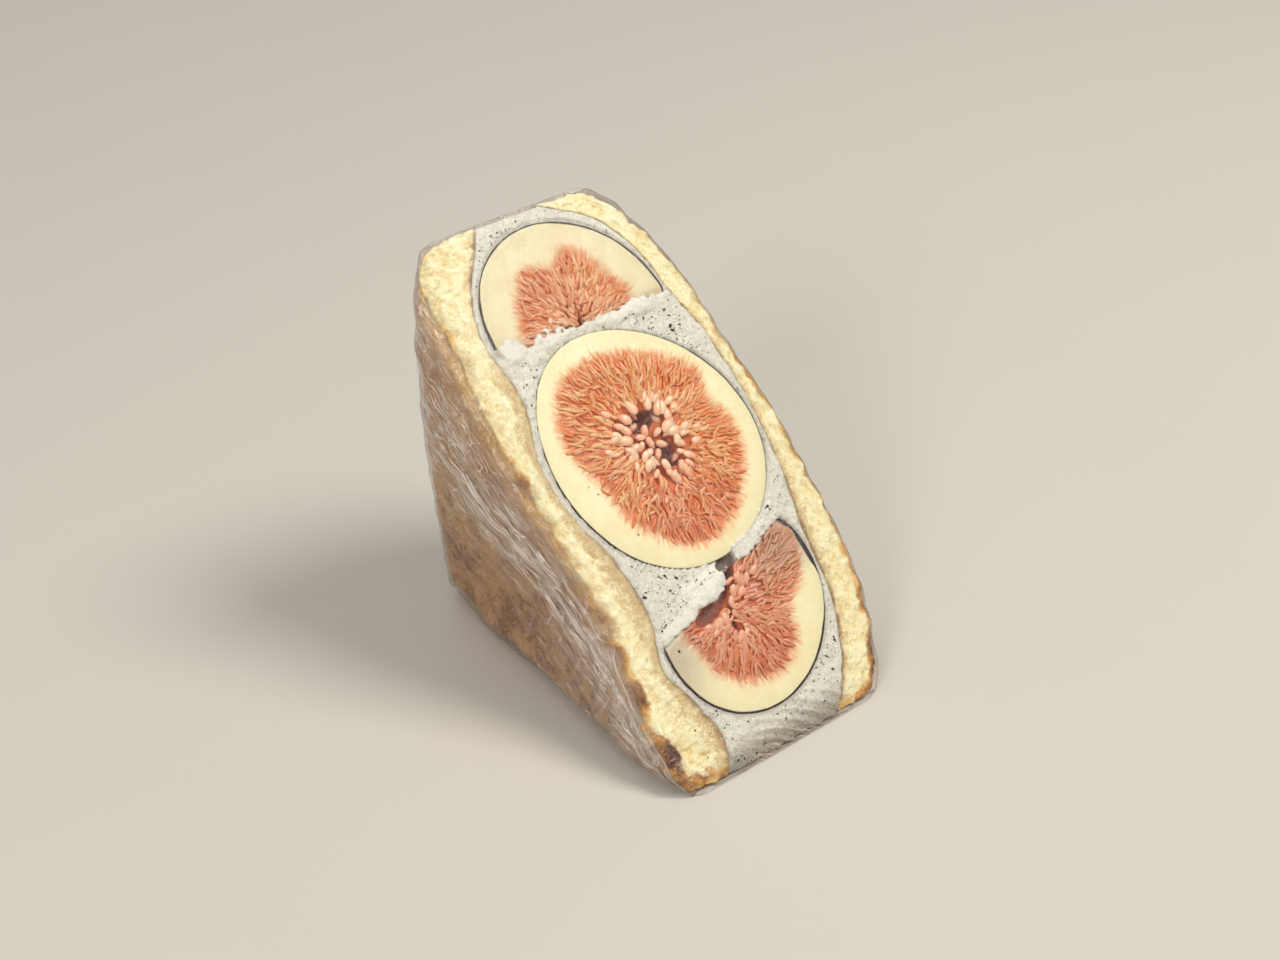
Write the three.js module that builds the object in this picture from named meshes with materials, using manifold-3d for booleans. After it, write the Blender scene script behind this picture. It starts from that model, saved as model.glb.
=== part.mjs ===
// Half of a square fig sandwich: two crusty slices with speckled cream and three figs between them, cut from
// corner to corner and wrapped in clear film. It stands on one side of the square, with the cut face leaning
// back.
// Millimetres, +Z up. X runs across the two slices, and Y from the foot of the cut face to the back.
import * as THREE from "three";
import { mergeVertices } from "three/addons/utils/BufferGeometryUtils.js";
import Module from "manifold-3d";

const wasm = await Module();
wasm.setup();

// Driving dimensions
const SIDE = 95; // side of the square sandwich before the cut
const GAP = 0.3; // clear space between neighbouring pieces
const SLICE_GAP = 0.5; // and between the cream and the slices, measured across them
const FILM = 0.4; // wall of the film
const CRUST_ROUND = 6.5; // radius of the crust where a slice's outside turns to its edge
const SHARPNESS = 0.94; // how far the sandwich reaches towards its back corner, 1 being a sharp corner
const BACK_SWELL = 3.4; // how far the left slice swells out near the back
const FOOT_SWELL = 3; // and along its foot
const CRAG = 0.9; // deepest dip in the crust
const CRAG_LENGTH = 13; // from one dip in the crust to the next
const CRAG_WANDER = 1.5; // how far the rows of dips wander, in radians
const CRAG_SLOWER = 0.65; // how much slower they wander than they dip
const CREAM_RECESS = 1; // how far the cream stops short of the slices' edges
const SLAB = 11; // thickness of a slice away from the figs
const FIG_REACH = 26; // depth behind the cut face at which the slices are back to that thickness

// Everything is modelled on the cut face: X across the slices, Y up the cut, Z out of it, so that the
// sandwich lies at negative Z. CUT is the length of the cut, from its foot to its top edge.
const CUT = SIDE * Math.SQRT2;
const INRADIUS = SIDE * (1 - Math.SQRT1_2); // of the triangle seen from the side

// The slices' faces where they meet the cut face, as [place up the cut, X]
const LEFT_OUTSIDE = [[0, 0.3], [14, -1], [52, -0.6], [76, -3.6], [95, -4.3], [110, -4.1], [124, -2.9],
  [CUT, -0.5]];
const LEFT_INSIDE = [[0, 11.4], [9, 14.2], [19, 11.4], [28, 8], [39, 10.8], [56, 8.6], [66, 4.8], [80, 3.1],
  [95, 6.4], [111, 3.9], [122, 7.2], [130, 12.5], [CUT, 15]];
const RIGHT_INSIDE = [[0, 42.8], [14, 51.5], [26, 55.4], [40, 56.4], [57, 58.5], [76, 58.8], [95, 56],
  [105, 52.7], [117, 49.4], [128, 41.5], [CUT, 30]];
const RIGHT_OUTSIDE = [[0, 56.3], [9, 59.5], [20, 63.7], [48, 65.7], [68, 64.6], [85, 62.2], [105, 58.8],
  [117, 55.2], [126, 51.4], [CUT, 47.5]];

// Each fig's outline on the cut face: middle, half width, half length, turn in degrees and how much narrower
// it gets towards its top. Then how deep it goes, and how far it leans down for each millimetre of depth, so
// that it stays inside the sandwich. A halved fig has a flat side through two points.
const FIGS = {
  fig_top: {
    at: [28.4, 106.5], half: [22.4, 25.4], turn: 38, deep: 18, lean: 0.8,
    flat: [[52, 104.6], [8, 104.6]],
  },
  fig_middle: { at: [30.4, 74.1], half: [26.2, 30.3], turn: 28, taper: 0.08, deep: 25 },
  fig_bottom: {
    at: [32.6, 32.7], half: [21.9, 24.7], turn: -40, deep: 19, lean: -0.2,
    flat: [[10, 33.4], [54, 47.6]],
  },
};
// The figs' open middles: middle on the cut face, half width, half height, turn in degrees and depth
const HOLLOWS = {
  fig_top: [{ at: [27.5, 104.8], half: [2.2, 1.8], turn: 0, deep: 2.5 }],
  fig_middle: [
    { at: [30.6, 79.6], half: [3.4, 2.2], turn: 10, deep: 4 },
    { at: [33.2, 71.2], half: [2.5, 2.9], turn: 20, deep: 3.5 },
  ],
  fig_bottom: [
    { at: [26.5, 36.6], half: [5, 1.8], turn: 25, deep: 3.5 },
    { at: [33.4, 41.6], half: [3.6, 2.2], turn: 50, deep: 4 },
  ],
};
const PIT = { at: [-0.6, 11], half: [2, 2.6], turn: 0, deep: 2.4 }; // burnt hole in the crust
// Slit at the back where the film's edges meet
const SEAM = { x: 30, width: 1.4, deep: 3, foot: 10, top: 84 };

// How finely the faces are divided
const ACROSS = 3;
const ALONG = 20;
const DEEP = 9;
const FIG_SIDES = 40;
const FIG_RINGS = 20;
const HOLLOW_SIDES = 12;
const HOLLOW_RINGS = 8;
const PACKING = 0.1; // how much closer the rows lie near an edge

const LEAN_BACK = Math.PI / 4; // turn that stands the cut face up from its foot
const SWELL_TOP = 4 / 27; // the most that depth * (1 - depth) ** 2 reaches
const SWELL_END = 0.2; // share of the depth over which the swelling of the foot rises or falls

// A smooth curve through [place, value] stations
function curve(stations) {
  const places = stations.map(([place]) => place);
  const values = stations.map(([, value]) => value);
  const smooth = new THREE.CubicInterpolant(places, values, 1);
  return (place) => smooth.evaluate(THREE.MathUtils.clamp(place, 0, CUT))[0];
}

const leftOutside = curve(LEFT_OUTSIDE);
const leftInside = curve(LEFT_INSIDE);
const rightInside = curve(RIGHT_INSIDE);
const rightOutside = curve(RIGHT_OUTSIDE);

// A place in the triangle: how far up the cut it would lie if slid out to the cut face, how deep it is as
// a share of the deepest, and how far it is from the nearer of the sandwich's two uncut edges.
function placeOf(y, z) {
  const foot = Math.max((y + z) * Math.SQRT1_2, 0);
  const back = Math.max(SIDE - (y - z) * Math.SQRT1_2, 0);
  return { up: (CUT * foot) / (foot + back), depth: (-2 * z) / CUT, behind: -z, edge: Math.min(foot, back) };
}

function roundedBy(edge) {
  const rest = Math.max(CRUST_ROUND - edge, 0);
  return CRUST_ROUND - Math.sqrt(CRUST_ROUND ** 2 - rest ** 2);
}

// Dips in the crust, between 0 and CRAG deep
function cragAt(y, z, phase) {
  const turn = (2 * Math.PI) / CRAG_LENGTH;
  const one = Math.sin(turn * y + CRAG_WANDER * Math.sin(CRAG_SLOWER * turn * z + phase));
  const other = Math.sin(turn * z + CRAG_WANDER * Math.sin(CRAG_SLOWER * turn * y - phase));
  return CRAG * ((1 + one * other) / 2) ** 2;
}

function lowestX(y, z) {
  const { up, depth, edge } = placeOf(y, z);
  const backSwell = (BACK_SWELL * (up / CUT) ** 2 * depth * (1 - depth) ** 2) / SWELL_TOP;
  const begun = THREE.MathUtils.smoothstep(depth, 0, SWELL_END);
  const ended = THREE.MathUtils.smoothstep(depth, 1 - SWELL_END, 1);
  const footSwell = FOOT_SWELL * (1 - up / CUT) ** 3 * (begun - ended);
  return leftOutside(up) * (1 - depth ** 2) - backSwell - footSwell + roundedBy(edge);
}

function highestX(y, z) {
  const { up, depth, edge } = placeOf(y, z);
  const edgeX = THREE.MathUtils.lerp(rightOutside(0), rightOutside(CUT), up / CUT);
  return edgeX + (rightOutside(up) - edgeX) * (1 - depth ** 2) - roundedBy(edge);
}

// The slices are thinned where the figs push into them, and full deeper in
function leftCrumbX(y, z) {
  const { up, behind, edge } = placeOf(y, z);
  const full = lowestX(y, z) - roundedBy(edge) + SLAB;
  return THREE.MathUtils.lerp(leftInside(up), full, THREE.MathUtils.smoothstep(behind, 0, FIG_REACH));
}

function rightCrumbX(y, z) {
  const { up, behind, edge } = placeOf(y, z);
  const full = highestX(y, z) + roundedBy(edge) - SLAB;
  return THREE.MathUtils.lerp(rightInside(up), full, THREE.MathUtils.smoothstep(behind, 0, FIG_REACH));
}

function middleOf(one, other) {
  return (y, z) => (one(y, z) + other(y, z)) / 2;
}

// A three-sided block between two faces. Its uncut edges are drawn in by inset, and it is grown by grow.
function blockGeometry(lowX, highX, inset = 0, grow = 0) {
  const geometry = new THREE.BoxGeometry(1, 1, 1, ACROSS, ALONG, DEEP);
  const points = geometry.attributes.position;
  const leg = SIDE - 2 * inset;
  const scale = 1 + grow / INRADIUS;
  for (let i = 0; i < points.count; i++) {
    const t = points.getY(i) + 0.5;
    const along = t - PACKING * Math.sin(2 * Math.PI * t);
    const z = (points.getZ(i) - 0.5) * SHARPNESS * leg * Math.SQRT1_2;
    const y = inset * Math.SQRT2 - z + (leg * Math.SQRT2 + 2 * z) * along;
    const x = THREE.MathUtils.lerp(lowX(y, z) - grow, highX(y, z) + grow, points.getX(i) + 0.5);
    points.setXYZ(i, x, CUT / 2 + (y - CUT / 2) * scale, -INRADIUS + (z + INRADIUS) * scale);
  }
  return geometry;
}

// An egg laid on the cut face, grown all round by grow
function eggGeometry({ at, half, turn, deep, taper = 0, lean = 0 }, grow, sides, rings) {
  const geometry = new THREE.SphereGeometry(1, sides, rings).rotateX(Math.PI / 2);
  const points = geometry.attributes.position;
  for (let i = 0; i < points.count; i++) {
    const width = (half[0] + grow) * points.getX(i) * (1 - taper * points.getY(i));
    const length = (half[1] + grow) * points.getY(i);
    points.setXYZ(i, width, length, (deep + grow) * points.getZ(i));
  }
  const leaning = new THREE.Matrix4().makeShear(0, 0, 0, 0, 0, lean);
  return geometry.rotateZ(THREE.MathUtils.degToRad(turn)).applyMatrix4(leaning).translate(at[0], at[1], 0);
}

// A box that holds all that lies to the right of the line from one point on the cut face to another
function sideOf([x0, y0], [x1, y1], offset) {
  const size = 2 * SIDE;
  return new THREE.BoxGeometry(size, size, size)
    .translate(0, -size / 2 + offset, 0)
    .rotateZ(Math.atan2(y1 - y0, x1 - x0))
    .translate((x0 + x1) / 2, (y0 + y1) / 2, 0);
}

function solidOf(geometry) {
  const bare = geometry.clone();
  bare.deleteAttribute("normal");
  bare.deleteAttribute("uv");
  const merged = mergeVertices(bare, 1e-4);
  const vertProperties = merged.attributes.position.array;
  const triVerts = new Uint32Array(merged.index.array);
  return new wasm.Manifold(new wasm.Mesh({ numProp: 3, vertProperties, triVerts }));
}

function geometryOf(solid) {
  const { vertProperties, triVerts } = solid.getMesh();
  const geometry = new THREE.BufferGeometry();
  geometry.setAttribute("position", new THREE.BufferAttribute(vertProperties, 3));
  geometry.setIndex(new THREE.BufferAttribute(triVerts, 1));
  geometry.computeVertexNormals();
  return geometry;
}

const behindCut = solidOf(new THREE.BoxGeometry(2 * CUT, 2 * CUT, CUT).translate(0, CUT / 2, -CUT / 2));

function figSolid(name, grow) {
  const fig = FIGS[name];
  const whole = solidOf(eggGeometry(fig, grow, FIG_SIDES, FIG_RINGS));
  return fig.flat ? whole.intersect(solidOf(sideOf(...fig.flat, grow))) : whole;
}

function fig(name) {
  let solid = figSolid(name, 0).intersect(behindCut);
  for (const hollow of HOLLOWS[name])
    solid = solid.subtract(solidOf(eggGeometry(hollow, 0, HOLLOW_SIDES, HOLLOW_RINGS)));
  return solid;
}

function leftSlice() {
  const craggy = (y, z) => lowestX(y, z) + cragAt(y, z, 0);
  const slice = solidOf(blockGeometry(craggy, leftCrumbX));
  return slice.subtract(solidOf(eggGeometry(PIT, 0, HOLLOW_SIDES, HOLLOW_RINGS)));
}

function rightSlice() {
  const craggy = (y, z) => highestX(y, z) - cragAt(y, z, 2);
  return solidOf(blockGeometry(rightCrumbX, craggy));
}

// The cream fills what the slices and the figs leave
function cream() {
  const overLeft = blockGeometry(lowestX, (y, z) => leftCrumbX(y, z) + SLICE_GAP);
  const overRight = blockGeometry((y, z) => rightCrumbX(y, z) - SLICE_GAP, highestX);
  const fromX = middleOf(lowestX, leftCrumbX);
  const toX = middleOf(rightCrumbX, highestX);
  const whole = solidOf(blockGeometry(fromX, toX, CREAM_RECESS));
  let solid = whole.subtract(solidOf(overLeft)).subtract(solidOf(overRight));
  for (const name of Object.keys(FIGS)) solid = solid.subtract(figSolid(name, GAP));
  const pieces = solid.decompose().sort((a, b) => b.volume() - a.volume());
  return pieces[0]; // what a fig cuts off against a slice is a scrap
}

// A thin skin round everything, open only along its seam
function film() {
  const outer = solidOf(blockGeometry(lowestX, highestX, 0, GAP + FILM));
  const inner = solidOf(blockGeometry(lowestX, highestX, 0, GAP));
  const slit = new THREE.BoxGeometry(SEAM.width, SEAM.deep, SEAM.top - SEAM.foot)
    .translate(SEAM.x, SIDE, (SEAM.foot + SEAM.top) / 2)
    .rotateX(-LEAN_BACK);
  return outer.subtract(inner).subtract(solidOf(slit));
}

const CRUST = new THREE.MeshStandardMaterial({ color: 0xdcb877, roughness: 0.85 });
const CREAM = new THREE.MeshStandardMaterial({ color: 0xd9dadb, roughness: 0.45 });
const FIG = new THREE.MeshStandardMaterial({ color: 0xc9765a, roughness: 0.5 });
const CLEAR = new THREE.MeshStandardMaterial({
  color: 0xf2f4f4,
  roughness: 0.1,
  transparent: true,
  opacity: 0.3,
});

const sandwich = new THREE.Group();
sandwich.rotation.x = LEAN_BACK;

function place(name, solid, material) {
  const mesh = new THREE.Mesh(geometryOf(solid), material);
  mesh.name = name;
  sandwich.add(mesh);
}

place("bread_left", leftSlice(), CRUST);
place("bread_right", rightSlice(), CRUST);
place("cream", cream(), CREAM);
for (const name of Object.keys(FIGS)) place(name, fig(name), FIG);
place("film", film(), CLEAR);

// The origin is the middle of the underside of everything
const part = new THREE.Group();
part.add(sandwich);
part.updateMatrixWorld(true);
const box = new THREE.Box3().setFromObject(part, true);
const middle = box.getCenter(new THREE.Vector3());
sandwich.position.set(-middle.x, -middle.y, -box.min.z);

export default part;
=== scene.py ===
"""Half of a square fig sandwich in clear film: two crusty slices, speckled cream and three cut figs.

Everything is shaped on the cut face, in millimetres: X runs across the two slices, Y up the cut and Z out of
it, so that the sandwich lies at negative Z. settle() stands it up in its place, in metres.
"""

import math

import bmesh
import bpy
import numpy as np
from mathutils import Matrix, Vector


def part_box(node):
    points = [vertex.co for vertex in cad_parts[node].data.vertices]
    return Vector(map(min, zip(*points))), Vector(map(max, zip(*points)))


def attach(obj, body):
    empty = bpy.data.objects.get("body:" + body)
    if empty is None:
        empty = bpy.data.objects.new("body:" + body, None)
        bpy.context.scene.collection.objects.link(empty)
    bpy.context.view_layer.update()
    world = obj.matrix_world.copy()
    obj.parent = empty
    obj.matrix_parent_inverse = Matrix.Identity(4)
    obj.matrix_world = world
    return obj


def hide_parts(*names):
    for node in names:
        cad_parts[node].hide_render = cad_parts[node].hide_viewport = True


bl_info = {
    "name": "Fig Sandwich",
    "version": (1, 0, 0),
    "blender": (4, 5, 0),
    "location": "View3D > Sidebar > Fig Sandwich",
    "description": "Builds half a fig and cream sandwich wrapped in clear film",
    "category": "Add Mesh",
}

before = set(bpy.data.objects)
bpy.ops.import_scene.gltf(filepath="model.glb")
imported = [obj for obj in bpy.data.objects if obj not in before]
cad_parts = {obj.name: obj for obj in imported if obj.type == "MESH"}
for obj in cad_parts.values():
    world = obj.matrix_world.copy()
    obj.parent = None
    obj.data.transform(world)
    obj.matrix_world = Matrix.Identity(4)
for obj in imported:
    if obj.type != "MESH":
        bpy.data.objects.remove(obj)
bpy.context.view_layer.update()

MM = 0.001
BREAD_LOW, BREAD_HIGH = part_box("bread_left")
SIDE = (BREAD_HIGH.z - BREAD_LOW.z) / MM  # of the square before it was cut
LEFT_SWELL = 5.906  # how far the left slice swells out past the corner of its foot
FOOT = Vector((BREAD_LOW.x + LEFT_SWELL * MM, BREAD_LOW.y, BREAD_LOW.z))
LEAN_BACK = math.pi / 4
CUT_FRAME = Matrix.Translation(FOOT) @ Matrix.Rotation(LEAN_BACK, 4, "X") @ Matrix.Scale(MM, 4)

# The solids' own sizes
GAP = 0.3  # clear space between neighbouring pieces
FILM = 0.4  # wall of the film
CRUST_ROUND = 6.5  # radius of the crust where a slice's outside turns to its edge
SHARPNESS = 0.94  # how far the sandwich reaches towards its back corner, 1 being a sharp corner
BACK_SWELL = 3.4  # how far the left slice swells out near the back
FOOT_SWELL = 3  # and along its foot
SWELL_TOP = 4 / 27  # highest value of the curve that the back swell follows
SWELL_END = 0.2  # share of the foot over which its swell rises or falls
CRAG = 0.9  # deepest dip in the crust
CRAG_LENGTH = 13  # from one dip to the next
CRAG_WANDER = 1.5  # how far the rows of dips wander, in radians
CRAG_SLOWER = 0.65  # how fast they wander, as a share of how fast they dip
SLAB = 11  # thickness of a slice away from the figs
FIG_REACH = 26  # depth behind the cut face at which the slices are back to that thickness
PACKING = 0.1  # how far rows are drawn towards the foot and the back
CUT = SIDE * math.sqrt(2)  # length of the cut face
INRADIUS = SIDE * (1 - math.sqrt(0.5))  # of the triangle seen from the side

# The slices' faces where they meet the cut face, as (place up the cut, X)
LEFT_OUTSIDE = (
    (0, 0.3), (14, -1), (52, -0.6), (76, -3.6), (95, -4.3), (110, -4.1), (124, -2.9), (CUT, -0.5),
)
LEFT_INSIDE = (
    (0, 11.4), (9, 14.2), (19, 11.4), (28, 8), (39, 10.8), (56, 8.6), (66, 4.8), (80, 3.1), (95, 6.4),
    (111, 3.9), (122, 7.2), (130, 12.5), (CUT, 15),
)
RIGHT_INSIDE = (
    (0, 42.8), (14, 51.5), (26, 55.4), (40, 56.4), (57, 58.5), (76, 58.8), (95, 56), (105, 52.7), (117, 49.4),
    (128, 41.5), (CUT, 30),
)
RIGHT_OUTSIDE = (
    (0, 56.3), (9, 59.5), (20, 63.7), (48, 65.7), (68, 64.6), (85, 62.2), (105, 58.8), (117, 55.2),
    (126, 51.4), (CUT, 47.5),
)

# Each fig's outline is as in the solid: its middle, half width and half height, turn, how much narrower it
# gets towards its top, depth, lean for each millimetre of depth, and a halved fig's flat side. Then come the
# middle of its pulp, how red the pulp is, how shaded the flesh, how far the pulp spills over the flat side at
# its left, and the pulp's edge as (angle, reach from that middle). A hollow is a middle, half width, half
# height, turn and depth. A lump is a plump seed: X, place up the cut, turn and height. Rows are the outermost
# and innermost rows of threads, as shares of the reach. Skin is how wide the dark skin shows, as (angle about
# the fig, width). Faces are the mesh's sides and rings.
FIGS = {
    "fig_top": {
        "at": (28.4, 106.5), "half": (22.4, 25.4), "turn": 38, "taper": 0, "deep": 18, "lean": 0.8,
        "flat": ((52, 104.6), (8, 104.6)), "core": (27.9, 105.4), "ruddy": 0.3, "shade": 0.45, "spill": 0.8,
        "pulp": (
            (4, 15.2), (35, 15), (61, 17.4), (75, 18.4), (94, 14.6), (115, 18), (133, 17), (155, 15.9),
            (176, 15.4), (196, 14), (270, 4), (350, 11),
        ),
        "hollows": ((28.2, 106.4, 0.5, 2.6, -19, 1.8), (26.4, 105, 4.6, 0.9, -27, 2)),
        "lumps": (),
        "rows": (1.06, 0.16),
        "skin": (
            (0, 0.5), (40, 0.55), (85, 0.45), (125, 0.35), (150, 0.35), (178, 0.6), (200, 0.15), (340, 0.15),
        ),
        "faces": (260, 110),
    },
    "fig_middle": {
        "at": (30.4, 74.1), "half": (26.2, 30.3), "turn": 28, "taper": 0.08, "deep": 25, "lean": 0,
        "flat": None, "core": (31.2, 74.8), "ruddy": 0, "shade": 0, "spill": 0,
        "pulp": (
            (-2, 21), (11, 18.6), (31, 22.2), (50, 20.9), (77, 21.4), (106, 23.7), (124, 25.3), (147, 24.4),
            (175, 20.5), (189, 18.3), (205, 18.3), (225, 21.2), (243, 22.4), (256, 24.6), (272, 26.1),
            (292, 25.6), (315, 24), (337, 23.2),
        ),
        "hollows": (
            (31.4, 79.9, 4.5, 2.5, 8, 4), (33.6, 71, 2.7, 3.6, 15, 3.6), (32, 75.4, 4.8, 3.6, 100, 1.2),
        ),
        "lumps": (
            (28.2, 79.4, 20, -1.6), (30.6, 77.4, 70, -1), (33.2, 76.2, 30, -0.7), (30.4, 74.6, 100, -0.6),
            (33.2, 73.4, 150, -0.8), (30.9, 71.6, 60, -0.9), (35.6, 75.2, 10, -0.4), (28.7, 76.6, 160, -0.5),
            (35, 78.8, 120, -1.4), (32, 68.2, 80, -1.2), (35.2, 69.4, 30, -1.5), (28.4, 72.8, 10, -0.4),
            (37, 72.6, 80, -0.3), (30.2, 82, 110, -1.8), (37.2, 75.8, 60, -0.2), (29.2, 70.4, 120, -0.3),
            (36.8, 70, 150, -0.4), (27.4, 74.6, 40, -0.2), (35, 66.8, 70, -0.5), (31.4, 66.4, 110, -0.3),
        ),
        "rows": (1.06, 0.5),
        "skin": (
            (0, 0.4), (45, 0.36), (75, 0.1), (110, 0.05), (140, 0.18), (180, 0.34), (225, 0.4), (250, 0.15),
            (290, 0.06), (325, 0.24),
        ),
        "faces": (360, 140),
    },
    "fig_bottom": {
        "at": (32.6, 32.7), "half": (21.9, 24.7), "turn": -40, "taper": 0, "deep": 19, "lean": -0.2,
        "flat": ((10, 33.4), (54, 47.6)), "core": (29.6, 33.4), "ruddy": 1, "shade": 0, "spill": 0,
        "pulp": (
            (5, 23), (23, 27), (35, 27), (41, 19), (55, 11.6), (90, 6), (165, 9.5), (184, 14.6), (196, 13.8),
            (227, 15.5), (260, 17.3), (291, 18.8), (313, 18.1), (339, 16.2), (355, 20),
        ),
        "hollows": (
            (24.8, 34.4, 5, 2, 14, 2.8), (33.2, 40.8, 4.3, 2.4, 60, 4), (29.6, 37.2, 3.4, 1.9, 52, 3),
            (29.4, 30, 0.8, 2.7, 10, 1.8),
        ),
        "lumps": (
            (32.4, 36.4, 60, 0.1), (34.8, 38.4, 100, 0.1), (36.9, 37.6, 60, 0), (34, 35.6, 30, 0),
            (30.6, 33.8, 110, 0), (27.2, 31.6, 80, -0.1), (39.4, 38.8, 20, -0.1),
        ),
        "rows": (1.06, 0.16),
        "skin": (
            (0, 0.6), (4, 1.1), (18, 1.1), (25, 0.5), (32, 0.9), (40, 0.6), (170, 0.4), (185, 0.5),
            (225, 0.5), (270, 0.55), (320, 0.6),
        ),
        "faces": (280, 120),
    },
}
CREAM_HOLE = FIGS["fig_bottom"]["hollows"][1]  # runs on into the cream above the fig
PIT = (0.3, 9.8, 2.2, 3.3, 2.5)  # burnt hole: middle, half width, half height, depth

# Browned places on the slices: X, place up the cut, reach and strength
BROWNED = (
    (-3.5, 78, 5, 0.8), (-3.4, 66, 3, 0.5), (-1, 25, 6, 0.75), (0.5, 7, 7, 0.6), (0.5, 13, 6, 0.85),
    (-1.5, 35, 5.5, 0.65), (-1, 44, 4, 0.5), (2.5, 3, 5, 0.5), (3.5, 17.5, 4.5, 0.75), (7, 4.5, 4, 0.45),
    (4.5, 9, 3.5, 0.5), (11, 1.2, 4, 0.7), (-4.6, 112, 6, 0.3), (52, 0, 5, 0.8), (59, 2, 7, 1),
    (61.5, 9, 7, 0.9), (63.5, 19, 5, 0.7), (64, 33, 4, 0.45), (52, 134, 4, 0.5),
)


def curve(stations):
    """A smooth curve through (place, value) stations, with each slope the mean of its neighbours'"""
    places, values = np.array(stations, float).T
    rises = np.diff(values) / np.diff(places)
    slopes = np.concatenate((rises[:1], (rises[1:] + rises[:-1]) / 2, rises[-1:]))

    def at(place):
        place = np.clip(place, places[0], places[-1])
        i = np.clip(np.searchsorted(places, place, side="right") - 1, 0, len(rises) - 1)
        step = places[i + 1] - places[i]
        share = (place - places[i]) / step
        rest = 1 - share
        ends = values[i] * (1 + 2 * share) * rest**2 + values[i + 1] * (1 + 2 * rest) * share**2
        return ends + step * share * rest * (slopes[i] * rest - slopes[i + 1] * share)

    return at


def ring(stations):
    """A closed smooth curve through (angle in degrees, value) stations"""
    before = [(angle - 360, value) for angle, value in stations[-3:]]
    after = [(angle + 360, value) for angle, value in stations[:3]]
    at = curve([*before, *stations, *after])
    start = stations[0][0]
    return lambda angle: at((np.degrees(angle) - start) % 360 + start)


left_outside = curve(LEFT_OUTSIDE)
left_inside = curve(LEFT_INSIDE)
right_inside = curve(RIGHT_INSIDE)
right_outside = curve(RIGHT_OUTSIDE)


def mix(low, high, share):
    return low + (high - low) * share


def smooth_step(value, start, end):
    share = np.clip((value - start) / (end - start), 0, 1)
    return share * share * (3 - 2 * share)


LATTICE = np.random.default_rng(11).random((32, 32, 32))
CORNERS = [(i, j, k) for i in (0, 1) for j in (0, 1) for k in (0, 1)]


def grain(points, size, shift=0.0):
    """Smooth noise between 0 and 1, with bumps of that size in millimetres"""
    place = np.asarray(points, float) / size + shift
    cell = np.floor(place).astype(int)
    part = place - cell
    part = part * part * (3 - 2 * part)
    total = np.zeros(len(place))
    for corner in CORNERS:
        weight = np.prod(np.where(corner, part, 1 - part), axis=1)
        i, j, k = ((cell + corner) % len(LATTICE)).T
        total += weight * LATTICE[i, j, k]
    return total


def layered(points, size, shift=0.0, layers=3):
    """Noise with finer and finer bumps laid over each other, about 0.5 on average"""
    total = sum(grain(points, size / 2**i, shift + 5.3 * i) / 2**i for i in range(layers))
    return total / (2 - 0.5 ** (layers - 1))


def stacked(*values):
    return np.stack(np.broadcast_arrays(*values), axis=1)


def place_of(y, z):
    """Where a place would lie up the cut, its depth as a share, and how far it is from an uncut edge"""
    foot = np.maximum((y + z) * math.sqrt(0.5), 0)
    back = np.maximum(SIDE - (y - z) * math.sqrt(0.5), 0)
    return CUT * foot / (foot + back), -2 * z / CUT, np.minimum(foot, back)


def rounded_by(edge):
    rest = np.maximum(CRUST_ROUND - edge, 0)
    return CRUST_ROUND - np.sqrt(CRUST_ROUND**2 - rest**2)


def crag_at(y, z, phase):
    turn = 2 * math.pi / CRAG_LENGTH
    one = np.sin(turn * y + CRAG_WANDER * np.sin(CRAG_SLOWER * turn * z + phase))
    other = np.sin(turn * z + CRAG_WANDER * np.sin(CRAG_SLOWER * turn * y - phase))
    return CRAG * ((1 + one * other) / 2) ** 2


def lowest_x(y, z):
    up, depth, edge = place_of(y, z)
    back_swell = BACK_SWELL * (up / CUT) ** 2 * depth * (1 - depth) ** 2 / SWELL_TOP
    between = smooth_step(depth, 0, SWELL_END) - smooth_step(depth, 1 - SWELL_END, 1)
    foot_swell = FOOT_SWELL * (1 - up / CUT) ** 3 * between
    return left_outside(up) * (1 - depth**2) - back_swell - foot_swell + rounded_by(edge)


def highest_x(y, z):
    up, depth, edge = place_of(y, z)
    straight = mix(right_outside(0), right_outside(CUT), up / CUT)
    return straight + (right_outside(up) - straight) * (1 - depth**2) - rounded_by(edge)


CRUST_OUT = 0.6  # how far the highest blisters stand out past the solids' faces
TOP_PUFF = 1.6  # how much further the left slice swells at its top corner
FOOT_PUFF = 1.9  # and at its foot
RIGHT_PUFF = 0.5  # and the right slice near the cut


def left_crust_x(y, z):
    """The left slice's face, swelling a little past the solid at its top corner and its foot"""
    near = 1 - smooth_step(-z, 8, 34)
    top = TOP_PUFF * smooth_step(y, 106, 124) * near
    foot = FOOT_PUFF * (1 - smooth_step(y, 8, 42)) * near
    return lowest_x(y, z) - CRUST_OUT - top - foot


def right_crust_x(y, z):
    return highest_x(y, z) + CRUST_OUT + RIGHT_PUFF * (1 - smooth_step(-z, 0, 30))


def left_crumb_x(y, z):
    up, _, edge = place_of(y, z)
    full = lowest_x(y, z) - rounded_by(edge) + SLAB
    return mix(left_inside(up), full, smooth_step(-z, 0, FIG_REACH))


def right_crumb_x(y, z):
    up, _, edge = place_of(y, z)
    full = highest_x(y, z) + rounded_by(edge) - SLAB
    return mix(right_inside(up), full, smooth_step(-z, 0, FIG_REACH))


def block_points(unit, low_x, high_x, inset=0.0, pack=1.0):
    """Places a unit block's points between two faces. pack above 1 draws its rows towards the cut face."""
    leg = SIDE - 2 * inset
    z = -((0.5 - unit[:, 2]) ** pack) * SHARPNESS * leg * math.sqrt(0.5)
    share = unit[:, 1] + 0.5
    along = share - PACKING * np.sin(2 * math.pi * share)
    y = inset * math.sqrt(2) - z + (leg * math.sqrt(2) + 2 * z) * along
    x = mix(low_x(y, z), high_x(y, z), unit[:, 0] + 0.5)
    return stacked(x, y, z)


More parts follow.
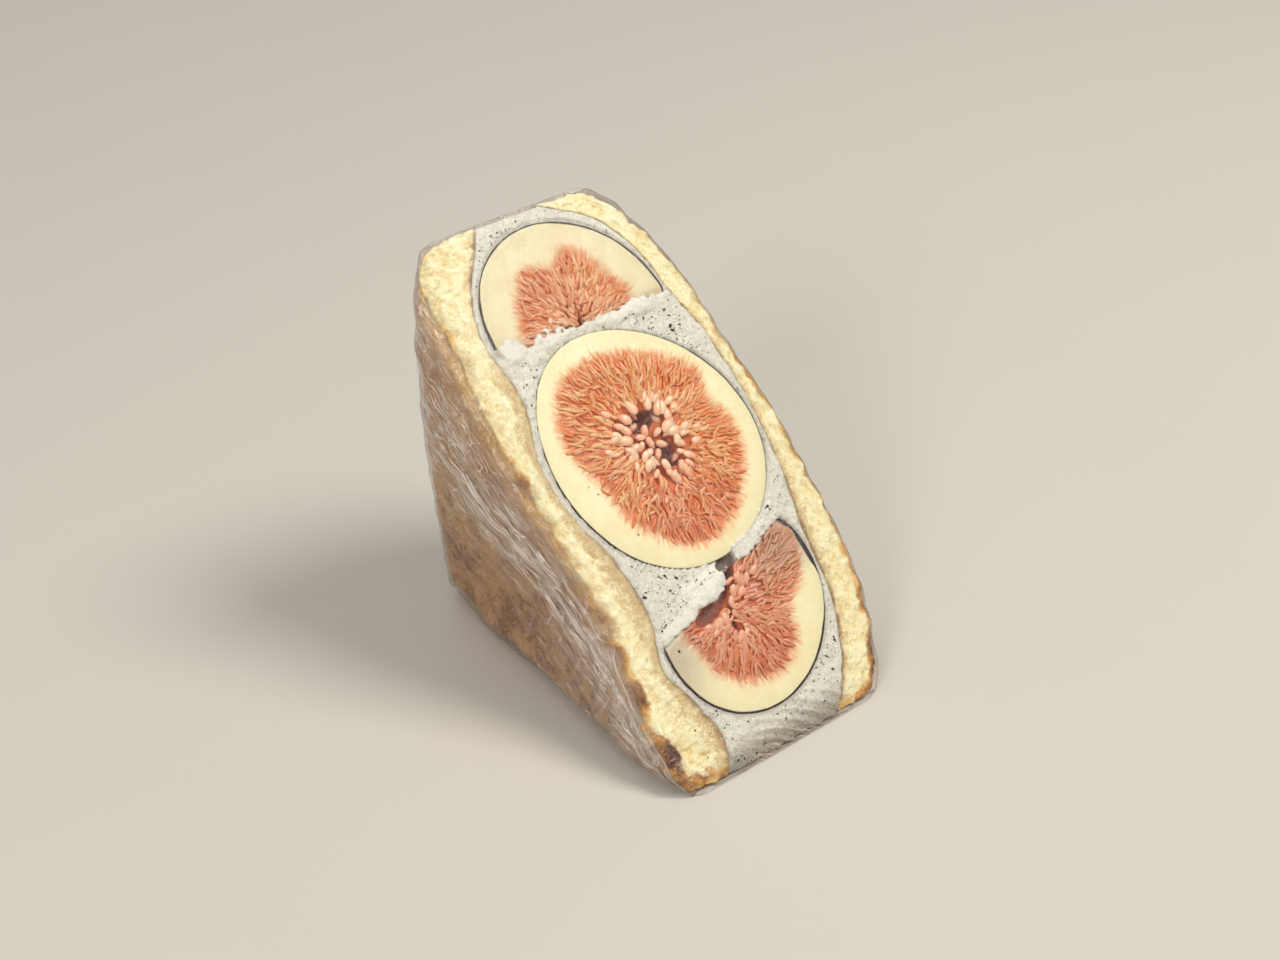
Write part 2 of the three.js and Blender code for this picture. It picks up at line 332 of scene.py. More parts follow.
def keep_square(points, beyond=0.0):
    """Holds points back to the planes of the foot and the back, or to a little beyond them"""
    y, z = points[:, 1], points[:, 2]
    points[:, 1] = np.clip(y, -z - beyond, CUT + z + beyond)


def fine_block(across, along, deep):
    """A unit block whose near face is a grid, with rows of faces behind it and one face at its far end"""
    bm = bmesh.new()
    near = Matrix.Translation((0, 0, 0.5))
    bmesh.ops.create_grid(bm, x_segments=across, y_segments=along, size=0.5, matrix=near)
    rim = [edge for edge in bm.edges if edge.is_boundary]
    for _ in range(deep):
        row = bmesh.ops.extrude_edge_only(bm, edges=rim)["geom"]
        points = [item for item in row if isinstance(item, bmesh.types.BMVert)]
        rim = [item for item in row if isinstance(item, bmesh.types.BMEdge) and item.is_boundary]
        bmesh.ops.translate(bm, verts=points, vec=(0, 0, -1 / deep))
    bmesh.ops.contextual_create(bm, geom=rim)
    bmesh.ops.recalc_face_normals(bm, faces=bm.faces)
    return bm


def mesh_from(bm, name):
    mesh = bpy.data.meshes.new(name)
    bm.to_mesh(mesh)
    bm.free()
    return mesh


def points_of(mesh):
    points = np.empty(len(mesh.vertices) * 3)
    mesh.vertices.foreach_get("co", points)
    return points.reshape(-1, 3)


def put_points(mesh, points):
    mesh.vertices.foreach_set("co", np.ascontiguousarray(points, np.float32).ravel())
    mesh.update()


def note(mesh, name, values):
    """Keeps a number or a vector for each point, for the finishes to read"""
    values = np.ascontiguousarray(values, np.float32)
    kind, key = ("FLOAT", "value") if values.ndim == 1 else ("FLOAT_VECTOR", "vector")
    mesh.attributes.new(name, kind, "POINT").data.foreach_set(key, values.ravel())


def settle(mesh, finish, replaces=()):
    """Stands a mesh up in its place as a finished piece of the sandwich"""
    mesh.transform(CUT_FRAME)
    mesh.shade_smooth()
    mesh.materials.append(finish)
    piece = bpy.data.objects.new(mesh.name, mesh)
    bpy.context.scene.collection.objects.link(piece)
    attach(piece, "root")
    if replaces:
        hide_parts(*replaces)
    return piece


def colour(red, green, blue):
    """A colour as seen on a screen, from 0 to 255, made linear"""
    shares = [value / 255 for value in (red, green, blue)]
    linear = [s / 12.92 if s <= 0.04045 else ((s + 0.055) / 1.055) ** 2.4 for s in shares]
    return (*linear, 1.0)


class Socket:
    """A shader socket that can stand in an expression"""

    def __init__(self, finish, socket):
        self.finish = finish
        self.socket = socket

    def maths(self, operation, *others):
        values = dict(enumerate((self, *others)))
        return self.finish.node("ShaderNodeMath", {"operation": operation}, values)

    def __add__(self, other):
        return self.maths("ADD", other)

    def __mul__(self, other):
        return self.maths("MULTIPLY", other)

    def __sub__(self, other):
        return self.maths("SUBTRACT", other)

    def __rsub__(self, other):
        return self.finish.node("ShaderNodeMath", {"operation": "SUBTRACT"}, {0: other, 1: self})

    def __pow__(self, other):
        return self.maths("POWER", other)

    __radd__ = __add__
    __rmul__ = __mul__

    def between(self, start, end):
        """0 up to start and 1 from end on, with a smooth rise between them"""
        settings = {"interpolation_type": "SMOOTHSTEP"}
        values = {"Value": self, "From Min": start, "From Max": end}
        return self.finish.node("ShaderNodeMapRange", settings, values)


class Finish:
    """A material, built up node by node"""

    def __init__(self, name):
        self.material = bpy.data.materials.new(name)
        self.material.use_nodes = True
        self.tree = self.material.node_tree
        self.tree.nodes.clear()

    def node(self, kind, settings=None, values=None, out=0):
        node = self.tree.nodes.new(kind)
        for key, value in (settings or {}).items():
            setattr(node, key, value)
        for key, value in (values or {}).items():
            if isinstance(value, Socket):
                self.tree.links.new(value.socket, node.inputs[key])
            else:
                node.inputs[key].default_value = value
        return Socket(self, node.outputs[out])

    def cut_place(self):
        """The place on the cut face, in millimetres"""
        place = self.node("ShaderNodeTexCoord", out="Object")
        values = {"Vector": place, "Location": FOOT, "Rotation": (LEAN_BACK, 0, 0), "Scale": (MM, MM, MM)}
        return self.node("ShaderNodeMapping", {"vector_type": "TEXTURE"}, values)

    def noted(self, name, out="Fac"):
        return self.node("ShaderNodeAttribute", {"attribute_name": name}, out=out)

    def noise(self, place, size, detail=2.0, rough=0.5):
        values = {"Vector": place, "Scale": 1 / size, "Detail": detail, "Roughness": rough}
        return self.node("ShaderNodeTexNoise", None, values)

    def cells(self, place, size, feature="F1"):
        return self.node("ShaderNodeTexVoronoi", {"feature": feature}, {"Vector": place, "Scale": 1 / size})

    def wandering(self, place, size, reach):
        """The place pushed about, so that what is drawn there wanders"""
        noise = self.node("ShaderNodeTexNoise", None, {"Vector": place, "Scale": 1 / size}, out="Color")
        values = {0: noise, 1: (reach,) * 3, 2: place}
        return self.node("ShaderNodeVectorMath", {"operation": "MULTIPLY_ADD"}, values)

    def blend(self, share, low, high):
        settings = {"data_type": "RGBA"}
        return self.node("ShaderNodeMix", settings, {"Factor": share, 6: low, 7: high}, out=2)

    def painted(self, tint, *coats):
        """The tint with coats laid over it one after another, each a share and a colour"""
        for share, over in coats:
            tint = self.blend(share, tint, over)
        return tint

    def bump(self, height, distance, strength=1.0):
        values = {"Height": height, "Distance": distance, "Strength": strength}
        return self.node("ShaderNodeBump", None, values)

    def surface(self, **values):
        named = {name.replace("_", " "): value for name, value in values.items()}
        return self.node("ShaderNodeBsdfPrincipled", None, named)

    def food(self, tint, roughness, normal, soft, reach):
        """The finished material of food, which light enters softly and reaches into in millimetres"""
        inside = {
            "Subsurface_Weight": soft,
            "Subsurface_Radius": [part * MM for part in reach],
            "Subsurface_Scale": 1.0,
        }
        return self.shown(self.surface(Base_Color=tint, Roughness=roughness, Normal=normal, **inside))

    def shown(self, shader):
        out = self.tree.nodes.new("ShaderNodeOutputMaterial")
        self.tree.links.new(shader.socket, out.inputs["Surface"])
        return self.material


def tint_property(name, description, default):
    return bpy.props.FloatVectorProperty(
        name=name, description=description, default=default, subtype="COLOR", size=4, min=0, max=1
    )


def size_property(name, description, default):
    return bpy.props.FloatProperty(
        name=name, description=description, default=default * MM, unit="LENGTH", precision=5, min=0
    )


class SandwichColours(bpy.types.PropertyGroup):
    """Colours of the sandwich and of its stage"""

    crumb: tint_property("Crumb", "Pale inside of the slices", colour(253, 243, 200))
    yellow_crumb: tint_property("Yellow crumb", "Egg-yellow patches in the crumb", colour(240, 217, 158))
    damp_crumb: tint_property("Damp crumb", "Crumb pressed against the filling", colour(206, 178, 130))
    gold: tint_property("Golden crust", "Lightly baked crust", colour(238, 194, 120))
    tan: tint_property("Tan crust", "Crust at the sides", colour(188, 142, 100))
    brown: tint_property("Brown crust", "Well baked crust", colour(132, 82, 46))
    char: tint_property("Char", "Burnt crust", colour(84, 34, 26))
    cream: tint_property("Cream", "Whipped filling", colour(228, 226, 214))
    shade: tint_property("Cream shade", "Ground seeds within the cream", colour(164, 163, 156))
    speck: tint_property("Specks", "Seeds on the cream", colour(40, 38, 40))
    flesh: tint_property("Flesh", "Pale ring of a fig", colour(247, 238, 199))
    rind: tint_property("Rind", "Flesh just under the skin", colour(232, 224, 178))
    pulp: tint_property("Pulp", "Threads of a fig's pulp", colour(236, 134, 68))
    pale_pulp: tint_property("Pale pulp", "Lightest threads", colour(252, 196, 144))
    ruddy_pulp: tint_property("Ruddy pulp", "Threads of a riper fig", colour(224, 130, 102))
    seed: tint_property("Seeds", "Seeds round the middle of a fig", colour(255, 214, 182))
    rosy_pulp: tint_property("Rosy pulp", "Lightest threads of a riper fig", colour(242, 168, 144))
    dull_pulp: tint_property("Dull pulp", "Threads bruised by the knife", colour(194, 148, 122))
    bed: tint_property("Pulp bed", "What shows between the threads", colour(218, 110, 58))
    hollow: tint_property("Hollow", "Open middle of a fig", colour(140, 84, 76))
    skin: tint_property("Skin", "Dark skin of a fig", colour(46, 24, 30))
    pale_skin: tint_property("Pale skin", "Skin where it is thin", colour(134, 116, 84))
    haze: tint_property("Film haze", "Gathered film", colour(255, 236, 222))
    floor: tint_property("Floor", "Floor under the sandwich", colour(206, 203, 198))


class SandwichSizes(bpy.types.PropertyGroup):
    """Sizes of the fine pieces"""

    thread_width: size_property("Thread width", "Width of a pulp thread", 1.1)
    thread_length: size_property("Thread length", "Length of a pulp thread", 4.6)
    seed_length: size_property("Seed length", "Length of a seed in the pulp", 3.9)
    speck_size: size_property("Speck size", "Width of a usual speck", 0.36)
    film_wall: size_property("Film", "Thickness of the film", 0.12)


def colours():
    return bpy.context.scene.sandwich_colours


def sizes():
    return bpy.context.scene.sandwich_sizes


FOOT_ROLL = 1.5


def roll_at(y):
    """How far the cut face rolls away at its foot"""
    return FOOT_ROLL * (1 - smooth_step(y, -1.5, 6))


# Bread

BREAD_ROWS = {"across": 36, "along": 360, "deep": 84}
BREAD_PACK = 1.35
RELIEF_REACH = 3.5  # depth behind the cut face at which its relief ends
EDGE_ROLL = 2.4  # how wide the crust rolls over at the cut

# Pale flakes in the crumb, and a painted highlight on its raised lumps
FLAKE_AND_HIGHLIGHT = colour(255, 250, 224)
# Painted shadow along the crumb's inner edge, against the cream
INNER_EDGE_SHADOW = colour(138, 102, 76)
CRUMB_PORE = colour(150, 132, 92)
FINE_PORE = colour(186, 152, 92)
TOASTED = colour(210, 148, 72)
BRIGHT_FLECK = colour(250, 222, 160)


def rough_crust(smooth, sign, phase):
    """A slice's outer face with its dips, blisters and grain. sign is 1 where X grows into the slice."""

    def at(y, z):
        place = stacked(y, z, phase)
        blisters = smooth_step(layered(place, 4.5, phase), 0.5, 0.72)
        rough = 0.35 * blisters + 0.4 * layered(place, 1.5, phase + 2)
        return smooth(y, z) + sign * (crag_at(y, z, phase) + rough)

    return at


def slice_mesh(name, low_x, high_x, outer, phase):
    """One slice. outer is -0.5 or 0.5, the side of the unit block where its crust lies."""
    mesh = mesh_from(fine_block(**BREAD_ROWS), name)
    unit = points_of(mesh)
    points = block_points(unit, low_x, high_x, pack=BREAD_PACK)
    x, y, z = points.T
    _, _, edge = place_of(y, z)
    width = high_x(y, z) - low_x(y, z)
    from_crust = np.abs(unit[:, 0] - outer) * width
    pale_end = 4 * smooth_step(y, 40, 100) * smooth_step(z, -5, -0.5)
    note(mesh, "crust", np.minimum(from_crust, edge * 0.8 + pale_end))

    lumps = layered(points, 1.9, phase) - 0.5
    bumps = layered(points, 0.8, phase + 1, 2) - 0.5
    pores = smooth_step(grain(points, 1.5, phase + 8), 0.72, 0.9)
    inward = from_crust / width
    relief = (0.3 + 1.3 * lumps + 0.7 * bumps + 0.5 * pores) * (1 - 0.5 * smooth_step(inward, 0.55, 0.8))
    roll = EDGE_ROLL * (0.7 + 0.8 * grain(points, 5, phase + 4))
    relief += 1.3 * (1 - smooth_step(from_crust, -0.6, roll))
    relief += 0.7 * smooth_step(from_crust - width, -0.9, -0.1)
    near = np.clip(1 + z / RELIEF_REACH, 0, 1)
    relief = (np.maximum(relief, -0.1) + roll_at(y)) * near
    pit_x, pit_y, half_x, half_y, pit_deep = PIT
    pit = np.sqrt(((x - pit_x) / half_x) ** 2 + ((y - pit_y) / half_y) ** 2 + (z / pit_deep) ** 2)
    burnt = 1 - smooth_step(pit + 0.5 * (grain(points, 1.3, 9) - 0.5), 0.4, 1.4)
    relief += 1.4 * burnt * near

    toast_and_top_light = 0.6 * layered(points, 8, phase) + 0.4 * layered(points, 2.6, phase + 3) - 0.35
    # Paler towards the top: painted light, where more light falls on the upper crust
    toast_and_top_light -= 0.3 * smooth_step(y, 60, 105)
    for spot_x, spot_y, reach, strength in BROWNED:
        away = np.sqrt((x - spot_x) ** 2 + (y - spot_y) ** 2 + z**2)
        toast_and_top_light += strength * (1 - smooth_step(away, 0, reach))
    points[:, 2] -= relief
    keep_square(points)
    put_points(mesh, points)
    note(mesh, "toast_and_top_light", toast_and_top_light + 1.1 * burnt)
    note(mesh, "inner", inward)
    dry_top = 0.3 * smooth_step(y, 94, 112)
    dry_foot = 0.12 * (1 - smooth_step(y, 10, 50))
    dry_right = 0.14 if outer > 0 else 0
    note(mesh, "damp", inward - dry_top - dry_foot - dry_right)
    note(mesh, "behind", -z)
    note(mesh, "relief", lumps + 0.7 * bumps)
    return mesh


def bread_finish():
    """Lemon crumb, yellower in patches and, as painted shade, in its hollows, beige where the filling has wet
    it, under a golden to brown crust
    """
    c = colours()
    finish = Finish("bread")
    place = finish.cut_place()
    broad = finish.noise(place, 6.0, 5.0, 0.6)
    patches = finish.noise(place, 2.6, 4.0)
    fine = finish.noise(place, 0.6, 3.0)
    patchy, mottled = patches - 0.5, fine - 0.5
    crumbs, pores = finish.cells(place, 2.4), finish.cells(place, 0.8)
    toast_and_top_light, relief, behind = finish.noted("toast_and_top_light"), finish.noted("relief"), finish.noted("behind")

    # Yellower in random patches, and deeper yellow where the relief is sunk: painted shade in the crumb's
    # hollows
    yellow = relief * 1.6 + patchy * 1.4 + mottled * 2.2 + 0.1
    # Raised lumps of the crumb get pale flakes and a painted highlight
    raised = relief * -2.0 + mottled * 2.0
    damp = finish.noted("damp") + patchy * 0.6 + mottled * 0.4 + relief * 0.15
    # A painted shadow line where the crumb meets the cream
    inner_shadow = finish.noted("inner") + patchy * 0.15 + mottled * 0.1
    crumb = finish.painted(
        c.crumb,
        (yellow.between(-0.2, 1.0), c.yellow_crumb),
        (raised.between(0.0, 0.9) * 0.6, FLAKE_AND_HIGHLIGHT),
        (damp.between(0.44, 0.82) * 0.85, c.damp_crumb),
        (inner_shadow.between(0.85, 0.96) * 0.75, INNER_EDGE_SHADOW),
        ((1 - crumbs.between(0.06, 0.12)) * 0.5, CRUMB_PORE),
        ((1 - pores.between(0.04, 0.24)) * 0.3, FINE_PORE),
    )

    heat = toast_and_top_light + patchy * 1.3 + mottled * 0.8
    hidden = behind.between(2.0, 9.0)
    scorched = heat - 0.35 + hidden * ((broad - 0.5) * 5.0 + 0.35)
    baked = finish.painted(
        c.gold,
        (behind.between(1.5, 9.0) * 0.85, c.tan),
        (heat.between(0.1, 0.6) * (1 - hidden), TOASTED),
        (scorched.between(-0.15, 0.7), c.brown),
        (heat.between(0.9, 1.3), c.char),
        ((fine - 0.52).between(0.0, 0.12) * 0.35, BRIGHT_FLECK),
    )

    outside = 1 - (finish.noted("crust") + patchy * 3.6 + mottled * 2.4 - toast_and_top_light * 3.0).between(0.0, 1.6)
    normal = finish.bump(fine + patches * 1.5, 0.5 * MM, 0.7)
    return finish.food(finish.blend(outside, crumb, baked), 0.75, normal, 0.15, (1.2, 0.7, 0.35))


# Figs

FACE_SHARE = 0.82  # share of the sphere that is pressed flat on the cut face
BED_DEPTH = 0.28  # how far the bed under the pulp is sunk
WHOLE_DISH = 0.9  # and how much further towards the middle of a whole fig
HALF_DISH = 0.3  # and of a halved one

YELLOW_FLESH = colour(240, 223, 170)
HALO = colour(255, 214, 160)
SHADED_FLESH = colour(200, 182, 146)
BRUISED_FLESH = colour(196, 180, 160)
# Painted shade on the sides of a fig's open middle
HOLLOW_SIDE_SHADE = colour(158, 86, 78)
RUDDY_BED = colour(188, 98, 74)


def turned(x, y, degrees):
    angle = math.radians(degrees)
    return x * math.cos(angle) - y * math.sin(angle), x * math.sin(angle) + y * math.cos(angle)


def egg_share(fig, x, y):
    """0 at the middle of a fig's outline on the cut face and 1 on the outline"""
    across, up = turned(x - fig["at"][0], y - fig["at"][1], -fig["turn"])
    up = up / fig["half"][1]
    return np.hypot(across / (fig["half"][0] * (1 - fig["taper"] * up)), up)


def inside_flat(fig, x, y):
    """How far a place lies inside a halved fig's flat side"""
    if fig["flat"] is None:
        return np.full(np.shape(x), SIDE)
    (x0, y0), (x1, y1) = fig["flat"]
    return ((x - x0) * (y1 - y0) - (y - y0) * (x1 - x0)) / math.hypot(x1 - x0, y1 - y0)


def skin_inset(fig, x, y):
    """How far a place on the cut face lies inside a fig's skin"""
    return (1 - egg_share(fig, x, y)) * min(fig["half"])


def hollow_share(hollow, x, y):
    """0 at the middle of a hollow and 1 at its edge"""
    at_x, at_y, half_x, half_y, turn, _ = hollow
    across, up = turned(x - at_x, y - at_y, -turn)
    return np.hypot(across / half_x, up / half_y)


def pulp_place(fig, x, y):
    """A place's angle about the pulp's middle, its distance from it, and the pulp's reach at that angle"""
    across, up = x - fig["core"][0], y - fig["core"][1]
    angle = np.arctan2(up, across)
    return angle, np.hypot(across, up), ring(fig["pulp"])(angle)


def fig_body(fig, name):
    """A fig's flesh, an egg whose upper half is pressed flat on the cut face about the pulp's middle"""
    sides, rings = fig["faces"]
    bm = bmesh.new()
    bmesh.ops.create_uvsphere(bm, u_segments=sides, v_segments=rings, radius=1)
    mesh = mesh_from(bm, name)
    px, py, pz = points_of(mesh).T
    latitude = np.arccos(np.clip(pz, -1, 1)) / math.pi
    angle = np.arctan2(py, px)
    spread = np.clip(latitude / FACE_SHARE, 0, 1)
    lower = np.clip((latitude - FACE_SHARE) / (1 - FACE_SHARE), 0, 1) * math.pi / 2
    round_x, round_y = np.cos(angle) * np.cos(lower), np.sin(angle) * np.cos(lower)
    half_x, half_y = fig["half"]
    x, y = turned(half_x * round_x * (1 - fig["taper"] * round_y), half_y * round_y, fig["turn"])
    x, y = x + fig["at"][0], y + fig["at"][1]
    z = -fig["deep"] * np.sin(lower)
    y = y + fig["lean"] * z
    x, y = mix(fig["core"][0], x, spread), mix(fig["core"][1], y, spread)
    put_points(mesh, stacked(x, y, z))
    return mesh


def cut_flat(mesh, fig):
    """Cuts a halved fig's flat side"""
    (x0, y0), (x1, y1) = fig["flat"]
    bm = bmesh.new()
    bm.from_mesh(mesh)
    everything = [*bm.verts, *bm.edges, *bm.faces]
    away = (y0 - y1, x1 - x0, 0)
    cut = bmesh.ops.bisect_plane(bm, geom=everything, plane_co=(x0, y0, 0), plane_no=away, clear_outer=True)
    rim = [item for item in cut["geom_cut"] if isinstance(item, bmesh.types.BMEdge)]
    bmesh.ops.contextual_create(bm, geom=rim)
    bmesh.ops.recalc_face_normals(bm, faces=bm.faces)
    bm.to_mesh(mesh)
    bm.free()


def dullness(fig, x, y):
    """How far a fig is bruised: at the bottom fig's two corners, and where the top fig meets the cream"""
    if fig is FIGS["fig_bottom"]:
        return np.maximum(
            smooth_step(x, 35, 48) * smooth_step(y - 0.25 * x, 18, 28),
            0.9 * (1 - smooth_step(x, 12, 22)) * smooth_step(y, 12, 30),
        )
    if fig is FIGS["fig_top"]:
        return 0.5 * (1 - smooth_step(inside_flat(fig, x, y), 0, 5))
    return 0 * x


def face_relief(fig, points):
    """How far a fig's cut face is sunk: the ridged bed of its pulp, its open middle and its rim"""
    x, y, _ = points.T
    angle, away, reach = pulp_place(fig, x, y)
    spokes = stacked(np.cos(angle) * 26, np.sin(angle) * 26, away / 5)
    bed = smooth_step(reach - away + 2.5 * (grain(spokes, 1.0) - 0.5), -0.5, 1.8)
    dish = WHOLE_DISH if fig["flat"] is None else HALF_DISH
    dished = dish * (1 - smooth_step(away / reach, 0.3, 0.5)) * bed
    sunk = bed * BED_DEPTH * (0.5 + grain(spokes, 1.0, 4)) + dished
    for hollow in fig["hollows"]:
        share = hollow_share(hollow, x, y) + 0.35 * (grain(points, 1.4, 6) - 0.5)
        sunk = np.maximum(sunk, hollow[-1] * np.sqrt(np.clip(1 - share**2, 0, 1)))
    groove = 0.06 * (1 - smooth_step(skin_inset(fig, x, y), 0, 0.8))
    sunk += groove + 0.25 * (layered(points, 7, 2) - 0.5) * (1 - bed)
    return sunk + 0.6 * (1 - smooth_step(inside_flat(fig, x, y), 0, 2.2))


def fig_mesh(name, fig):
    mesh = fig_body(fig, name)
    if fig["flat"]:
        cut_flat(mesh, fig)
    points = points_of(mesh)
    on_face = points[:, 2] > -0.001
    sunk = face_relief(fig, points)
    points[:, 2] -= np.where(on_face, sunk, 0)
    put_points(mesh, points)
    x, y, _ = points.T
    angle, away, reach = pulp_place(fig, x, y)
    note(mesh, "pulp", reach - away)
    note(mesh, "inset", np.where(on_face, skin_inset(fig, x, y), -1))
    note(mesh, "skin", skin_width(fig, x, y))
    note(mesh, "sunk", np.where(on_face, sunk, 0))
    note(mesh, "spokes", stacked(np.cos(angle) * 30, np.sin(angle) * 30, away / 4))
    note(mesh, "dull", dullness(fig, x, y))
    return mesh


def flesh_finish(name, fig):
    """Pale flesh with a dark skin, streaked with orange where the pulp begins, and an open middle that turns
    darker mauve the deeper it is sunk, as painted shade
    """
    c = colours()
    finish = Finish(name)
    place = finish.cut_place()
    streaks = finish.noise(finish.noted("spokes", "Vector"), 1.0, 3.0, 0.6)
    thin = finish.noise(place, 14.0, 1.0)
    clouds = finish.noise(place, 7.0, 2.0)
    fine = finish.noise(place, 0.5, 2.0)
    pulp, sunk, dull = finish.noted("pulp"), finish.noted("sunk"), finish.noted("dull")
    inset, width = finish.noted("inset"), finish.noted("skin")

    flesh = finish.painted(
        c.flesh,
        ((clouds - 0.45) * 2.6, YELLOW_FLESH),
        ((1 - (inset + (clouds - 0.5) * 2.0).between(0.2, 4.0)) * 0.6, c.rind),
        (pulp.between(-2.4, 0.4) * 0.45, HALO),
        # Painted shade over the top fig's flesh
        ((clouds + 0.5) * fig["shade"], SHADED_FLESH),
        (dull, BRUISED_FLESH),
    )
    threads = finish.painted(
        c.bed,
        (fig["ruddy"] * 0.8, RUDDY_BED),
        (streaks.between(0.4, 0.6), c.pulp),
        (streaks.between(0.4, 0.7) * (0.25 + 0.5 * fig["ruddy"]), c.ruddy_pulp),
        (dull * 0.85, c.dull_pulp),
    )
    edge = (pulp + (streaks - 0.5) * 7.0).between(-1.6, 2.4)
    rim = (width - inset + (clouds - 0.5) * 0.4 + (thin - 0.5) * 0.3).between(-0.12, 0.12)
    tint = finish.painted(
        flesh,
        (edge, threads),
        # Darker mauve the deeper the face is sunk: painted shade in the open middle
        (sunk.between(0.8, 1.7) * 0.75, HOLLOW_SIDE_SHADE),
        (sunk.between(1.5, 2.8), c.hollow),
        (rim, finish.blend(1 - width.between(0.08, 0.28), c.skin, c.pale_skin)),
    )
    normal = finish.bump(streaks * edge + fine * 0.15, 0.4 * MM, 0.6)
    return finish.food(tint, 0.42, normal, 0.25, (1.6, 0.9, 0.5))


# Pulp


def pattern_of(bm):
    """The points of a small body, and its triangles as the points' numbers"""
    bm.verts.ensure_lookup_table()
    points = np.array([point.co for point in bm.verts])
    triangles = np.array([[point.index for point in face.verts] for face in bm.faces])
    bm.free()
    return points, triangles


THREAD_TAIL = 0.15  # how wide a body is at its start, as a share of its width


def thread_pattern(sides, rings, blunt):
    """The points and triangles of a slim body from 0 to 1 along Y, drawn out thin at its start"""
    bm = bmesh.new()
    bmesh.ops.create_uvsphere(bm, u_segments=sides, v_segments=rings, radius=0.5)
    bmesh.ops.rotate(bm, verts=bm.verts, cent=(0, 0, 0), matrix=Matrix.Rotation(math.pi / 2, 3, "X"))
    bmesh.ops.translate(bm, verts=bm.verts, vec=(0, 0.5, 0))
    bmesh.ops.triangulate(bm, faces=bm.faces)
    points, triangles = pattern_of(bm)
    wide = mix(points[:, 1] ** blunt, 1, THREAD_TAIL)
    points[:, 0] *= wide
    points[:, 2] *= wide
    return points, triangles


def joined_mesh(name, points, triangles):
    """One mesh of many small bodies: points is (bodies, points, 3), and all share the same triangles"""
    bodies, each, _ = points.shape
    corners = (triangles[None] + each * np.arange(bodies)[:, None, None]).reshape(-1)
    mesh = bpy.data.meshes.new(name)
    mesh.vertices.add(bodies * each)
    mesh.vertices.foreach_set("co", np.ascontiguousarray(points, np.float32).ravel())
    mesh.loops.add(len(corners))
    mesh.loops.foreach_set("vertex_index", corners.astype(np.int32))
    mesh.polygons.add(len(corners) // 3)
    mesh.polygons.foreach_set("loop_start", np.arange(0, len(corners), 3, dtype=np.int32))
    mesh.update(calc_edges=True)
    mesh.validate()
    return mesh


ROW_STEP = 0.085
FRINGE = 1.03  # rows beyond it are thin and scattered
FRINGE_KEPT = 0.55  # share of the threads that are kept there
THREAD_RIM = 0.965  # share of a fig's outline beyond which no thread starts
NEIGHBOUR_RIM = 1.06  # the same for the outline of another fig
ASTRAY = 0.12  # share of the threads that lie astray
CUT_LEVEL = 0.12  # height at which the knife went through the pulp


def spread_rows(fig, rows, gap, rng):
    """Starts in rows round the pulp's middle: X, place up the cut, angle towards the middle, and row"""
    reach_at = ring(fig["pulp"])
    found = []
    for row in rows:
        angle = -math.pi
        while angle < math.pi:
            away = float(reach_at(angle)) * (row + rng.normal(0, 0.022))
            found.append((angle + rng.normal(0, 0.25) * gap / max(away, 2), away, row))
            angle += gap / max(away, 1.5)
    angle, away, row = np.array(found).T
    x = fig["core"][0] + away * np.cos(angle)
    y = fig["core"][1] + away * np.sin(angle)
    return x, y, angle + math.pi, row


def skin_width(fig, x, y):
    return ring(fig["skin"])(np.arctan2(y - fig["at"][1], x - fig["at"][0]))


def in_hollow(fig, x, y):
    """Below 1 inside an open middle"""
    return np.min([hollow_share(hollow, x, y) for hollow in fig["hollows"]], axis=0)


def laid(x, y, heading, ahead, side, z):
    """Lays bodies out on the cut face from their starts, each turned to its own heading"""
    cos, sin = np.cos(heading)[:, None], np.sin(heading)[:, None]
    across = x[:, None] + cos * ahead - sin * side
    up = y[:, None] + sin * ahead + cos * side
    return np.stack((across, up, z), axis=2)


def levelled(z, give):
    """Heights cut off at the knife's level, but for a share of what stood above it"""
    return np.minimum(z, CUT_LEVEL + give * (z - CUT_LEVEL))


def pulp_notes(mesh, fig, points, along, tint):
    """Keeps what the pulp's finishes read: place along each body, its tint, height, redness and dullness"""
    count, each, _ = points.shape
    points = points.reshape(-1, 3)
    x, y, z = points.T
    note(mesh, "along", np.tile(along, count))
    note(mesh, "tint", np.repeat(tint, each))
    note(mesh, "height", z)
    note(mesh, "dull", dullness(fig, x, y))
    pale = 1 - fig["ruddy"]
    below = smooth_step(fig["core"][1] - y, 3, 22)
    left = smooth_step(fig["core"][0] - x, -4, 16)
    patches = layered(points, 9, 3) - 0.5
    note(mesh, "ruddy", np.clip(fig["ruddy"] * 0.75 + 0.6 * below * pale + 0.8 * patches, 0, 1))
    # Deeper colour on a pale fig's left, partly painted shade on that side, and in random patches
    note(mesh, "deep", 1.6 * left * (1 - below) * pale + 0.8 * patches)


